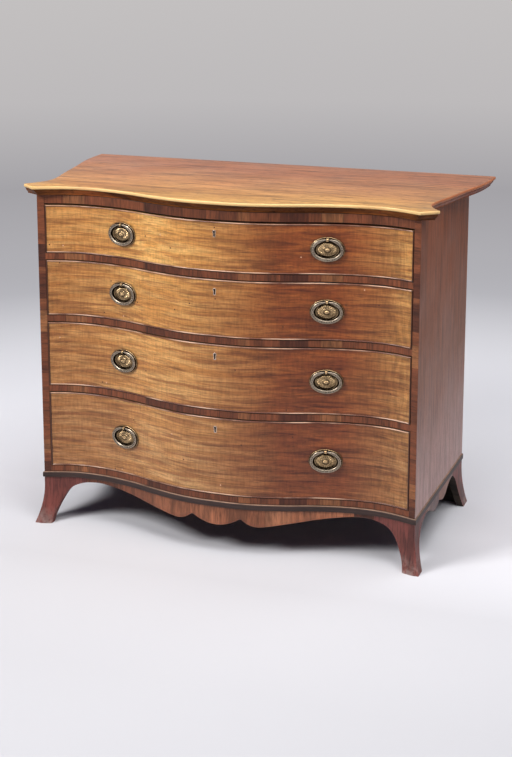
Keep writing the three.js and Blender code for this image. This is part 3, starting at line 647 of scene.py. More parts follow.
def top_mahogany(colours):
    """Top: one wide mahogany board, with painted light making it paler and more golden towards the
    front, under worn polish.
    """
    material, tree = new_material("french_polished_mahogany_top")
    coords = grain_coords(tree)
    parts = add(tree, SPLIT, [coords])
    # The grain lies in the top's plane, and is drawn 3 times as broad so that it shows there
    broader = add(tree, MATHS, (parts["Y"], 0.33), operation="MULTIPLY")[0]
    swapped = add(tree, JOIN, (parts["X"], parts["Z"], broader))[0]
    # Painted light: paler and more golden towards the front edge, where the light falls and
    # reflects most
    depth = add(tree, MAP_RANGE, (parts["Y"], TOP_LOW.y, TOP_HIGH.y))[0]
    drift = add(tree, NOISE, {"Vector": coords, "Scale": 1 / 0.25, "Detail": 2.0})[0]
    faded = add(tree, MATHS, (drift, 0.5, depth), operation="MULTIPLY_ADD")[0]
    stops = ((0.2, colours.top_gold), (0.6, colours.top_mid), (1.0, colours.top_red))
    base = add(tree, RAMP, [faded], stops)[0]
    shade, grain = grained(
        tree, swapped, (1, 0.9, (0.66, 0.6, 0.58)), figure=0.5, line=0.16, contrast=1.3
    )
    # Painted light: the left end is lighter than the right, as the light comes from the left
    painted_left_light = add(tree, MAP_RANGE, (parts["X"], -HALF_WIDTH, HALF_WIDTH, 1.16, 0.92))[0]
    dents = nicks(tree, coords, "X", "Y", spacing=120 * MM, size=1.6 * MM)
    # The lip of the edge has a painted highlight, pale at the front, and the hollow under it a
    # painted shadow, dark at the front
    rise = add(tree, MAP_RANGE, (parts["Z"], TOP_LOW.z, TOP_HIGH.z))[0]
    lip = add(tree, RAMP, [rise], ((0.64, 0.0), (0.7, 0.85), (0.95, 0.85), (0.995, 0.0)))[0]
    hollow = add(tree, RAMP, [rise], ((0.58, 1.0), (0.66, 0.0)))[0]
    ahead = add(tree, MAP_RANGE, (parts["Y"], CASE_FRONT + 24 * MM, CASE_FRONT + 12 * MM))[0]
    rubbed, shaded = [
        add(tree, MIX, {FACTOR: ahead, FIRST: behind, SECOND: before}, **MIXED)[RESULT]
        for behind, before in (
            (colours.red_light, colours.top_rim_highlight), ((0.85, 0.52, 0.42), (0.36, 0.21, 0.15)),
        )
    ]
    for factor, over, mode in (
        (0.9, shade, MULTIPLIED), (1.0, painted_left_light, MULTIPLIED), (dents, colours.red, MIXED),
        (lip, rubbed, MIXED), (hollow, shaded, MULTIPLIED),
    ):
        base = add(tree, MIX, {FACTOR: factor, FIRST: base, SECOND: over}, **mode)[RESULT]
    gloss = add(tree, RAMP, [rise], ((0.6, 0.08), (0.7, 0.36)))[0]
    roughness = worn_roughness(tree, coords, smooth=0.38, dull=0.52)
    wooden(tree, base, grain, 0.2 * MM, roughness, gloss, coat=0.05)
    return material


def side_mahogany(colours):
    """Case sides: plainer mahogany with an upright grain, painted paler and greyer towards the
    floor as a painted reflection of the floor, and darker near the top as painted shade.
    """
    material, tree = new_material("mahogany_sides_painted_light")
    coords = grain_coords(tree, "ZXY")
    height = add(tree, MAP_RANGE, (add(tree, SPLIT, [coords])["X"], CASE_FOOT, CASE_TOP))[0]
    # Painted light: the floor's reflection low down, and shade under the top's overhang high up
    stops = ((0.0, colours.side_floor_reflection), (0.45, colours.side), (1.0, colours.side_top_shade))
    base = add(tree, RAMP, [height], stops)[0]
    shade, grain = grained(tree, coords, (1, 0.93, 0.78), figure=0.5, line=0.16, contrast=1.3)
    base = add(tree, MIX, {FACTOR: 0.95, FIRST: base, SECOND: shade}, **MULTIPLIED)[RESULT]
    # The polish has gone from the upper part and is left lower down
    gloss = add(tree, MAP_RANGE, (height, 0, 1, 0.6, 0.08))[0]
    roughness = worn_roughness(tree, coords, smooth=0.42, dull=0.54)
    wooden(tree, base, grain, 0.2 * MM, roughness, gloss)
    return material


def crossband(name, axis, tones, width):
    """Crossbanding: short leaves of mahogany veneer with the grain across the band."""
    material, tree = new_material(name)
    coords = add(tree, COORDS)["Object"]
    moved, tone, joint = leaves(tree, coords, axis, width)
    grainwise = grain_coords(tree, {"X": "ZYX", "Z": "XYZ", "Y": "ZXY"}[axis], moved)
    light, mid, dark = tones
    base = add(tree, RAMP, [tone], ((0.0, dark), (0.25, mid), (0.8, mid), (1.0, light)))[0]
    shade, grain = grained(tree, grainwise, (1, 0.8, 0.52), figure=0.12, line=0.05, contrast=1.0)
    for over in (shade, joint):
        base = add(tree, MIX, {FACTOR: 1.0, FIRST: base, SECOND: over}, **MULTIPLIED)[RESULT]
    roughness = worn_roughness(tree, coords, smooth=0.36, dull=0.5)
    # Painted shade in the crevices beside the beads and other parts
    wooden(tree, crevice_shaded(tree, base), grain, 0.25 * MM, roughness, gloss=0.4)
    return material


def band_finish(colours):
    """Base band: ebonised mahogany, paler in patches along its upper arris, a painted highlight
    with some rubbing.
    """
    material, tree = new_material("ebonised_base_band")
    coords = grain_coords(tree)
    height = add(tree, SPLIT, [coords])["Z"]
    # Painted highlight along the upper arris, broken by patches
    rubbed = add(tree, MAP_RANGE, (height, CASE_FOOT - 1.8 * MM, CASE_FOOT - 0.5 * MM))[0]
    patches = add(tree, NOISE, {"Vector": coords, "Scale": 1 / 0.04, "Detail": 3.0})[0]
    worn = add(tree, MATHS, (rubbed, patches), operation="MULTIPLY")[0]
    shade, grain = grained(tree, coords, (1, 0.85, 0.65), figure=0.2, line=0.08, contrast=0.7)
    base = colours.base
    for factor, over, mode in ((worn, colours.bead, MIXED), (0.8, shade, MULTIPLIED)):
        base = add(tree, MIX, {FACTOR: factor, FIRST: base, SECOND: over}, **mode)[RESULT]
    wooden(tree, base, grain, 0.2 * MM, roughness=0.5, gloss=0.3)
    return material


def foot_finish(colours):
    """Feet: upright mahogany veneer, scuffed grey and dull where mops and shoes reach it."""
    material, tree = new_material("scuffed_mahogany_feet")
    coords = grain_coords(tree, "ZYX")
    height = add(tree, SPLIT, [coords])["X"]
    shade, grain = grained(tree, coords, (1, 0.8, 0.42), figure=0.12, line=0.07, contrast=1.2)
    scuffed = add(tree, MAP_RANGE, (height, 0.0, 45 * MM, 0.6, 0.0))[0]
    patches = add(tree, NOISE, {"Vector": coords, "Scale": 1 / 0.02, "Detail": 4.0})[0]
    patchy = add(tree, RAMP, [patches], ((0.42, 0.0), (0.6, 1.0)))[0]
    dusty = add(tree, MATHS, (scuffed, patchy), operation="MULTIPLY")[0]
    base = colours.foot
    for factor, over, mode in ((0.95, shade, MULTIPLIED), (dusty, colours.scuff, MIXED)):
        base = add(tree, MIX, {FACTOR: factor, FIRST: base, SECOND: over}, **mode)[RESULT]
    roughness = worn_roughness(tree, coords, smooth=0.42, dull=0.6)
    wooden(tree, base, grain, 0.3 * MM, roughness, gloss=0.4)
    return material


def bead_finish(colours):
    """Cock beads: thin mahogany strips, pale in patches, the pale partly rubbed wear and partly a
    painted highlight.
    """
    material, tree = new_material("rubbed_highlit_mahogany_beads")
    coords = grain_coords(tree)
    patches = add(tree, NOISE, {"Vector": coords, "Scale": 1 / 0.09, "Detail": 5.0})[0]
    # Pale patches: partly rubbed wear, partly a painted highlight on the bead's round
    base = add(tree, RAMP, [patches], ((0.42, colours.bead_dark), (0.6, colours.bead)))[0]
    # The upright lengths at a drawer's ends are painted dark, as painted shade: they lie out of the
    # light beside the gap
    outward = add(tree, MATHS, [add(tree, SPLIT, [coords])["X"]], operation="ABSOLUTE")[0]
    ends = add(tree, MAP_RANGE, (outward, HALF_OPENING - 5.5 * MM, HALF_OPENING - 4 * MM))[0]
    base = add(tree, MIX, {FACTOR: ends, FIRST: base, SECOND: colours.streak}, **MIXED)[RESULT]
    base = crevice_shaded(tree, base, reach=3 * MM)
    wooden(tree, base, patches, 0.1 * MM, roughness=0.28, gloss=0.5, coat=0.3)
    return material


def pine_tones(colours):
    """Light, middle and dark tone of the pine."""
    return colours.carcase, colours.carcase_mid, colours.carcase_dark


def bare_wood(name, order, tones, roughness=0.72):
    """Unpolished wood of the inside: planed, dry and dull, with open grain."""
    material, tree = new_material(name)
    shade, height = grained(
        tree, grain_coords(tree, order), tones, figure=0.3, line=0.12, contrast=0.7
    )
    wooden(tree, shade, height, 0.3 * MM, roughness)
    return material


def board_wood(colours):
    """Back boards: pine, browned by age, each board of its own tone, dry and dull."""
    material, tree = new_material("aged_pine_back_boards")
    coords = add(tree, COORDS)["Object"]
    inward = add(tree, MATHS, (add(tree, SPLIT, [coords])["X"], HALF_OPENING))[0]
    number = add(tree, MATHS, (inward, 1 / BOARD_WIDTH), operation="MULTIPLY")[0]
    moved, tone = numbered(tree, coords, number)
    upright = grain_coords(tree, "ZYX", moved)
    shade, height = grained(tree, upright, pine_tones(colours), figure=0.4, line=0.14, contrast=0.8)
    toned = add(tree, RAMP, [tone], ((0.0, 0.78), (1.0, 1.08)))[0]
    base = add(tree, MIX, {FACTOR: 1.0, FIRST: shade, SECOND: toned}, **MULTIPLIED)[RESULT]
    wooden(tree, base, height, 0.4 * MM, roughness=0.78)
    return material


def brass_finish(name, bright, dark):
    """Handles and keyhole liners: cast brass, rubbed where high, and dark in its hollows and under
    the ring, the dark partly tarnish and partly painted shade.
    """
    material, tree = new_material(name)
    coords = add(tree, COORDS)["Object"]
    # Ambient occlusion 9 mm out: tarnish in the hollows, and painted shade under the ring and round
    # the plate
    open_sky = add(tree, CREVICES, {"Distance": 9 * MM}, samples=8)["AO"]
    blots = add(tree, NOISE, {"Vector": coords, "Scale": 1 / (9 * MM), "Detail": 2.0})[0]
    hollows = add(tree, MATHS, (open_sky, 0.8), operation="MULTIPLY")[0]
    uneven = add(tree, MATHS, (blots, 0.2, hollows), operation="MULTIPLY_ADD")[0]
    rubbed = add(tree, RAMP, [uneven], ((0.7, 0.0), (0.88, 1.0)))[0]
    base = add(tree, MIX, {FACTOR: rubbed, FIRST: dark, SECOND: bright}, **MIXED)[RESULT]
    dull = add(tree, MAP_RANGE, (rubbed, 0, 1, 0.62, 0.27))[0]
    # Casting grain of about 0.3 mm, drawn 0.7 mm so that it shows
    pits = add(tree, NOISE, {"Vector": coords, "Scale": 1 / (0.7 * MM), "Detail": 2.0})[0]
    metallic(tree, base, pits, strength=0.25, depth=0.15 * MM, roughness=dull)
    return material


def lock_finish(name, light, dark):
    """Locks and nails: wrought iron, filed flat and browned with age."""
    material, tree = new_material(name)
    coords = add(tree, COORDS)["Object"]
    blots = add(tree, NOISE, {"Vector": coords, "Scale": 1 / (9 * MM), "Detail": 4.0})[0]
    base = add(tree, RAMP, [blots], ((0.35, dark), (0.65, light)))[0]
    filed = streaks(tree, coords, (12 * MM, 1 * MM, 4 * MM), 3.0)
    metallic(tree, base, filed, strength=0.3, depth=0.1 * MM, roughness=0.5)
    return material


def node_tree(name, sizes):
    """A Geometry Nodes tree with a geometry input, named sizes and a material; with its ends."""
    tree = bpy.data.node_groups.new(name, "GeometryNodeTree")
    tree.is_modifier = True
    sockets = tree.interface
    sockets.new_socket("Geometry", in_out="INPUT", socket_type="NodeSocketGeometry")
    for label, kind, value in sizes:
        socket = sockets.new_socket(label, in_out="INPUT", socket_type=kind)
        if value is not None:
            socket.default_value = value
    sockets.new_socket("Geometry", in_out="OUTPUT", socket_type="NodeSocketGeometry")
    start = tree.nodes.new("NodeGroupInput").outputs
    end = tree.nodes.new("NodeGroupOutput").inputs
    return tree, start, end


def ended(tree, geometry, material, end):
    """End a tree: shaded smooth, its instances made real, and its material set."""
    smooth = add(
        tree, "GeometryNodeSetShadeSmooth", {"Geometry": geometry, "Shade Smooth": True}
    )[0]
    real = add(tree, "GeometryNodeRealizeInstances", {"Geometry": smooth})[0]
    painted = add(tree, "GeometryNodeSetMaterial", {"Geometry": real, "Material": material})[0]
    tree.links.new(painted, end[0])


def sweep_tree():
    """A round bar of a radius along a path."""
    tree, start, end = node_tree("bar_along_path", (
        ("Radius", "NodeSocketFloat", 1 * MM), ("Sides", "NodeSocketInt", 8),
        ("Finish", "NodeSocketMaterial", None),
    ))
    path = add(tree, "GeometryNodeMeshToCurve", {"Mesh": start["Geometry"]})[0]
    circle = add(
        tree, "GeometryNodeCurvePrimitiveCircle",
        {"Resolution": start["Sides"], "Radius": start["Radius"]}, mode="RADIUS",
    )[0]
    bar = add(
        tree, "GeometryNodeCurveToMesh",
        {"Curve": path, "Profile Curve": circle, "Fill Caps": True},
    )[0]
    ended(tree, bar, start["Finish"], end)
    return tree


def leaf_tree():
    """Cast leaves, oval lumps in line along a path, evenly spaced."""
    tree, start, end = node_tree("leaves_along_path", (
        ("Count", "NodeSocketInt", 24), ("Length", "NodeSocketFloat", 3 * MM),
        ("Width", "NodeSocketFloat", 2 * MM), ("Height", "NodeSocketFloat", 1 * MM),
        ("Segments", "NodeSocketInt", 8), ("Finish", "NodeSocketMaterial", None),
    ))
    path = add(tree, "GeometryNodeMeshToCurve", {"Mesh": start["Geometry"]})[0]
    places = add(
        tree, "GeometryNodeResampleCurve", {"Curve": path, "Count": start["Count"]}, mode="COUNT"
    )[0]
    tangent = add(tree, "GeometryNodeInputTangent")[0]
    facing = add(
        tree, "FunctionNodeAlignRotationToVector", {"Vector": tangent}, axis="X", pivot_axis="Y"
    )[0]
    lump = add(
        tree, "GeometryNodeMeshUVSphere",
        {"Segments": start["Segments"], "Rings": 5, "Radius": 1.0},
    )[0]
    size = add(tree, JOIN, (start["Length"], start["Height"], start["Width"]))[0]
    lumps = add(
        tree, "GeometryNodeInstanceOnPoints",
        {"Points": places, "Instance": lump, "Rotation": facing, "Scale": size},
    )[0]
    ended(tree, lumps, start["Finish"], end)
    return tree


def along_path(tree, points, sizes, closed=True):
    """Plain mesh of a tree run along a path of points."""
    count = len(points)
    edges = [(i, (i + 1) % count) for i in range(count if closed else count - 1)]
    mesh = bpy.data.meshes.new("path")
    mesh.from_pydata(points, edges, [])
    holder = bpy.data.objects.new("path", mesh)
    bpy.context.scene.collection.objects.link(holder)
    modifier = holder.modifiers.new("Nodes", "NODES")
    modifier.node_group = tree
    for item in tree.interface.items_tree:
        if item.in_out == "INPUT" and item.name in sizes:
            modifier[item.identifier] = sizes[item.name]
    return baked(holder)


def joined(name, *meshes):
    """One mesh of several, which share their first's materials; the rest are removed."""
    whole = bmesh.new()
    for mesh in meshes:
        whole.from_mesh(mesh)
    first = meshes[0].copy()
    first.name = name
    whole.to_mesh(first)
    whole.free()
    for mesh in meshes:
        bpy.data.meshes.remove(mesh)
    return first


def cut(mesh, *cutters):
    """The mesh with cutters' shapes taken out of it."""
    holder = bpy.data.objects.new("cut", mesh)
    bpy.context.scene.collection.objects.link(holder)
    tools = []
    for shape in cutters:
        tool = bpy.data.objects.new("cutter", shape)
        bpy.context.scene.collection.objects.link(tool)
        modifier = holder.modifiers.new("Cut", "BOOLEAN")
        modifier.object = tool
        modifier.operation = "DIFFERENCE"
        modifier.solver = "EXACT"
        tools.append(tool)
    result = baked(holder)
    for tool in tools:
        bpy.data.objects.remove(tool)
    return result


def slab(outline, levels):
    """A board from a plan, a function of an inset that gives points, and levels (height, inset)."""
    return loft([[(x, y, z) for x, y in outline(inset)] for z, inset in levels])


def arrised(bottom, top, edge=0.5 * MM):
    """Levels of a board between two heights with both its front arrises taken off."""
    return ((bottom, edge), (bottom + edge, 0), (top - edge, 0), (top, edge))


class CHEST_OT_stage(bpy.types.Operator):
    """Sets up the pale floor, the soft boxes, the sky and the camera"""

    bl_idname = "chest.stage"
    bl_label = "Stage"
    bl_options = {"REGISTER", "UNDO"}

    def execute(self, context):
        studio = context.scene.chest_studio
        scene = bpy.context.scene
        scene.view_settings.view_transform = "Standard"
        # Half the floor's side, in metres
        reach = 60
        corners = [(-reach, -reach, 0), (reach, -reach, 0), (reach, reach, 0), (-reach, reach, 0)]
        mesh = bpy.data.meshes.new("studio_floor")
        mesh.from_pydata(corners, [], [(0, 1, 2, 3)])
        mesh.materials.append(self.paper(studio))
        floor = bpy.data.objects.new("studio_floor", mesh)
        scene.collection.objects.link(floor)
        self.soft_box("key", studio.key_power, (-2.2, -2.9, 3.4), (0, -0.2, 0.5), 1.5)
        self.soft_box("overhead", studio.top_power, (-0.2, -0.3, 3.2), (0, 0, 0.5), 2.4)
        self.soft_box("fill", studio.fill_power, (1.3, -0.7, 3.0), (0.4, -0.2, 0.2), 2.2)
        self.soft_box("back", studio.back_power, (2.4, 2.0, 3.0), (0.3, 0, 0.1), 1.8)
        self.sky(studio)
        camera = bpy.data.objects.new("camera", bpy.data.cameras.new("camera"))
        scene.collection.objects.link(camera)
        camera.data.lens = studio.lens
        camera.data.shift_y = CAMERA_SHIFT
        camera.location = CAMERA_PLACE
        camera.rotation_euler = (math.radians(90 - CAMERA_PITCH), 0, math.radians(CAMERA_YAW))
        scene.camera = camera
        return {"FINISHED"}

    def soft_box(self, name, power, place, target, size):
        lamp = bpy.data.lights.new(name, "AREA")
        lamp.energy = power
        lamp.shape = "SQUARE"
        lamp.size = size
        box = bpy.data.objects.new(name, lamp)
        box.location = place
        aim = Vector(target) - Vector(place)
        box.rotation_euler = aim.to_track_quat("-Z", "Y").to_euler()
        bpy.context.scene.collection.objects.link(box)

    def paper(self, studio):
        """Floor: rolled background paper, matt, paler near the chest than far behind it."""
        material, tree = new_material("matt_background_paper")
        coords = add(tree, COORDS)["Object"]
        away = add(tree, VECTORS, [coords], operation="LENGTH")["Value"]
        # 1 under the chest, a half 3 m away, and towards 0 in the distance
        spread = add(tree, MATHS, (away, 1 / 3, 1.0), operation="MULTIPLY_ADD")[0]
        near = add(tree, MATHS, (1.0, spread), operation="DIVIDE")[0]
        distant = add(tree, RAMP, [near], (
            (0.11, studio.far), (0.24, studio.wall), (0.36, studio.dip), (0.52, studio.middle),
            (0.64, studio.floor),
        ))[0]
        # The paper is greyer in front of the chest, where every lamp reaches it
        forward = add(tree, MAP_RANGE, (add(tree, SPLIT, [coords])["Y"], -1.0, 0.2))[0]
        grey = add(tree, RAMP, [forward], ((0.0, 0.655), (0.45, 0.7), (0.85, 1.0)))[0]
        colours = {FACTOR: 1.0, FIRST: studio.floor, SECOND: grey}
        lit = add(tree, MIX, colours, **MULTIPLIED)[RESULT]
        # Paper tooth of about 0.5 mm, drawn 2 mm so that it shows
        tooth = add(tree, NOISE, {"Vector": coords, "Scale": 1 / (2 * MM), "Detail": 2.0})[0]
        settings = {"Base Color": lit, "Roughness": 0.85, "Specular IOR Level": 0.2}
        shader = surfaced(tree, tooth, 0.05, 0.1 * MM, settings)
        glow = add(tree, "ShaderNodeEmission", {"Color": distant, "Strength": 1.0})[0]
        faded = add(tree, MAP_RANGE, (near, 0.66, 0.46, 0.0, 1.0))[0]
        seen = add(tree, MATHS, (self.seen(tree), faded), operation="MULTIPLY")[0]
        add(tree, OUTPUT, [add(tree, "ShaderNodeMixShader", (seen, shader, glow))[0]])
        return material

    def seen(self, tree):
        """1 for the rays that show the background: to the camera, in gloss and through glass."""
        path = add(tree, "ShaderNodeLightPath")
        some = add(tree, MATHS, (path["Is Camera Ray"], path["Is Glossy Ray"]), operation="ADD")[0]
        parts = (some, path["Is Transmission Ray"])
        return add(tree, MATHS, parts, operation="ADD", use_clamp=True)[0]

    def sky(self, studio):
        """Even light from all round, and the far grey where the camera sees past the floor."""
        world = bpy.data.worlds.new("studio_sky")
        world.use_nodes = True
        tree = world.node_tree
        tree.nodes.clear()
        light = add(
            tree, "ShaderNodeBackground", {"Color": studio.sky, "Strength": studio.sky_strength}
        )[0]
        shown = add(tree, "ShaderNodeBackground", {"Color": studio.far, "Strength": 1.0})[0]
        both = add(tree, "ShaderNodeMixShader", (self.seen(tree), light, shown))[0]
        add(tree, "ShaderNodeOutputWorld", {"Surface": both})
        bpy.context.scene.world = world


def top_outline(inset):
    """Plan of the top at an inset: serpentine front, canted corners, hollow necks, flared back."""
    front = []
    for x in steps(-TOP_CORNER, TOP_CORNER, 140):
        swing = (abs(x) / TOP_CORNER) ** TOP_CORNER_POWER
        overhang = TOP_OVERHANG + (TOP_CORNER_OVERHANG - TOP_OVERHANG) * swing
        front.append((x * (1 - inset / TOP_CORNER), front_y(x) - overhang + inset))
    hollow = [
        (TOP_NECK + (TOP_CANT - TOP_NECK) * curve_through(
            HOLLOW_PLACE_SHARES, HOLLOW_REACH_SHARES, share) - inset,
         CASE_FRONT + TOP_CANT_BACK + (TOP_NECK_BACK - TOP_CANT_BACK) * share)
        for share in steps(0, 1, 12)[:-1]
    ]
    neck_y = CASE_FRONT + TOP_NECK_BACK
    flare = [
        (TOP_NECK + (TOP_HIGH.x - TOP_NECK) * curve_through(
            FLARE_PLACE_SHARES, FLARE_REACH_SHARES, share) - inset,
         neck_y + (TOP_HIGH.y - neck_y) * share - (inset if share == 1 else 0))
        for share in steps(0, 1, 40)
    ]
    right = hollow + flare
    return front + right + [(-x, y) for x, y in reversed(right)]


class CHEST_OT_top(bpy.types.Operator):
    """Makes the shaped top with its moulded edge"""

    bl_idname = "chest.top"
    bl_label = "Top"
    bl_options = {"REGISTER", "UNDO"}

    def execute(self, context):
        colours = context.scene.chest_colours
        levels = [(CASE_TOP + up * MM, inset * MM) for up, inset in TOP_PROFILE]
        mesh = smoothed(mesh_of("top_board", slab(top_outline, levels)), 32)
        placed("top_board", dressed(mesh, top_mahogany(colours)), "case", ["top"])
        return {"FINISHED"}


class CHEST_OT_sides(bpy.types.Operator):
    """Makes the case sides with their crossbanded stiles"""

    bl_idname = "chest.sides"
    bl_label = "Case sides"
    bl_options = {"REGISTER", "UNDO"}

    def execute(self, context):
        colours = context.scene.chest_colours
        board = side_mahogany(colours)
        tones = (colours.band_light, colours.band, colours.band_dark)
        stile = crossband("crossbanded_mahogany_stiles", "Z", tones, 38 * MM)
        inside = bare_wood("browned_pine_carcase", "ZXY", pine_tones(colours))
        for hand, side in HANDS:
            corners = [
                (HALF_OPENING, front_y(HALF_OPENING)), (HALF_WIDTH, front_y(HALF_WIDTH)),
                (HALF_WIDTH, CASE_BACK), (HALF_OPENING, CASE_BACK),
            ]
            rings = [[(x * side, y, z) for x, y in corners] for z in (CASE_FOOT, CASE_TOP)]
            mesh = dressed(mesh_of(f"side_board_{hand}", loft(rings)), board, stile, inside)
            for face in mesh.polygons:
                if face.normal.y < -0.5:
                    face.material_index = 1
                elif face.normal.x * side < 0.5:
                    face.material_index = 2
            piece = placed(
                f"side_board_{hand}", mesh, "case", [f"case_side_{hand}"]
            )
            rounded(piece, 0.7 * MM)
        return {"FINISHED"}


def back_plan(inset):
    """Plan of the back: boards side by side with a groove at each joint."""
    front = CASE_BACK - BACK_THICKNESS
    line = [(HALF_OPENING, front), (-HALF_OPENING, front), (-HALF_OPENING, CASE_BACK)]
    count = round(2 * HALF_OPENING / BOARD_WIDTH)
    for i in range(1, count):
        x = -HALF_OPENING + i * BOARD_WIDTH
        line += [
            (x - BOARD_GROOVE, CASE_BACK), (x, CASE_BACK - BOARD_GROOVE_DEPTH),
            (x + BOARD_GROOVE, CASE_BACK),
        ]
    return line + [(HALF_OPENING, CASE_BACK)]


class CHEST_OT_back(bpy.types.Operator):
    """Makes the back boards and their nails"""

    bl_idname = "chest.back"
    bl_label = "Back"
    bl_options = {"REGISTER", "UNDO"}

    def execute(self, context):
        colours = context.scene.chest_colours
        levels = ((CASE_FOOT, 0), (CASE_TOP, 0))
        mesh = dressed(mesh_of("back_boards", slab(back_plan, levels)), board_wood(colours))
        placed("back_boards", mesh, "case", ["back_panel"])
        iron = lock_finish("browned_iron_nails", colour("#6a6258"), colour("#3a322b"))
        tree = leaf_tree()
        rows = []
        nail = {"Count": 16, "Length": 2.6 * MM, "Width": 2.6 * MM, "Height": 0.7 * MM,
                "Segments": 8, "Finish": iron}
        for z in (CASE_FOOT + NAIL_MARGIN, CASE_TOP - NAIL_MARGIN):
            y = CASE_BACK - 0.2 * MM
            end = HALF_OPENING - NAIL_END_MARGIN
            ends = [(-end, y, z), (end, y, z)]
            rows.append(along_path(tree, ends, nail, closed=False))
        nails = joined("back_nails", *rows)
        placed("back_nails", nails, "case")
        return {"FINISHED"}


def rail_outline(back, end):
    """Plan of a rail at an inset: the serpentine front between two ends, and a straight back."""
    def plan(inset):
        line = [(x, front_y(x) + inset) for x in steps(-end, end, FRONT_STEPS)]
        return line + [(end, back), (-end, back)]
    return plan


class CHEST_OT_rails(bpy.types.Operator):
    """Makes the crossbanded rails between the drawers, above them and below them"""

    bl_idname = "chest.rails"
    bl_label = "Rails"
    bl_options = {"REGISTER", "UNDO"}

    def execute(self, context):
        colours = context.scene.chest_colours
        sizes = context.scene.chest_sizes
        tones = (colours.band_light, colours.band, colours.band_dark)
        banding = crossband("crossbanded_mahogany_rails", "X", tones, sizes.leaf_width)
        # The rails' upper and lower arrises are painted near black: painted shade in the gaps
        # beside the drawers
        tones = [colour(code) for code in ("#4a2e20", "#35200f", "#20130a")]
        arris = bare_wood("dark_arrises_painted_shade", "XYZ", tones)
        names = {"frieze_rail": "frieze_band", "case_bottom": "bottom_board"}
        names.update({f"drawer_divider_{i}": f"drawer_rail_{i}" for i in DIVIDERS})
        for node, name in names.items():
            low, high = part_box(node)
            plan = rail_outline(high.y, HALF_OPENING)
            mesh = mesh_of(node, slab(plan, arrised(low.z, high.z, RAIL_ARRIS)))
            if node != "case_bottom":
                mesh = self.mortised(mesh, low.z)
            mesh = smoothed(mesh, 30)
            mesh.materials.clear()
            mesh = dressed(mesh, banding, arris)
            for face in mesh.polygons:
                if min(abs(face.center.z - low.z), abs(face.center.z - high.z)) < 1.7 * MM:
                    face.material_index = 1
            placed(name, mesh, "case", [node])
        return {"FINISHED"}

    def mortised(self, mesh, underside):
        """The rail with the mortise that the lock's bolt goes up into."""
        low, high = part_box("drawer_1_lock_bolt")
        left, right = low.x - MORTISE_SPARE, high.x + MORTISE_SPARE
        front, back = low.y - MORTISE_SPARE, high.y + MORTISE_SPARE
        rings = [
            [(left, front, z), (right, front, z), (right, back, z), (left, back, z)]
            for z in (underside - 2 * MM, underside + MORTISE_DEPTH)
        ]
        return cut(mesh, mesh_of("mortise", loft(rings)))


def base_plan(inset):
    """Plan of the base band at an inset: round the front, both sides and over the back feet."""
    out = BAND_PROJECTION - inset
    outer = HALF_WIDTH + out
    front = [(x, front_y(x) - out) for x in steps(-HALF_WIDTH, HALF_WIDTH, FRONT_STEPS)]
    front[0] = (-outer, front[0][1])
    front[-1] = (outer, front[-1][1])
    inner, rail_back = HALF_WIDTH - BAND_SIDE_DEPTH, CASE_FRONT + BAND_FRONT_DEPTH
    end, end_front = HALF_WIDTH - BACK_BRACKET, CASE_BACK - BACK_BRACKET_THICKNESS
    right = [
        (outer, CASE_BACK), (end, CASE_BACK), (end, end_front), (inner, end_front),
        (inner, rail_back),
    ]
    return front + right + [(-x, y) for x, y in reversed(right)]


def apron_foot(x):
    """Lower line of the front apron: a centre lobe between cusps, then a long ogee."""
    place = abs(x) / HALF_WIDTH
    cusp = APRON_PLACE_SHARES[0]
    if place >= cusp:
        return FOOT_HEIGHT - APRON_DROP * curve_through(
            APRON_PLACE_SHARES, APRON_DROP_SHARES, place
        )
    rise = APRON_DROP * (1 - APRON_DROP_SHARES[0])
    return FOOT_HEIGHT - APRON_DROP + rise * (place / cusp) ** 2


def apron_section(face, back, foot, edge=0.7 * MM):
    """Section of an apron from its face's (x, y) to its back's, with its lower arrises off."""
    shift = Vector(back) - Vector(face)
    shift *= edge / shift.length
    f, b = Vector(face), Vector(back)
    marks = (
        (f, FOOT_HEIGHT), (f, foot + edge), (f + shift, foot), (b - shift, foot),
        (b, foot + edge), (b, FOOT_HEIGHT),
    )
    return [(p.x, p.y, z) for p, z in marks]


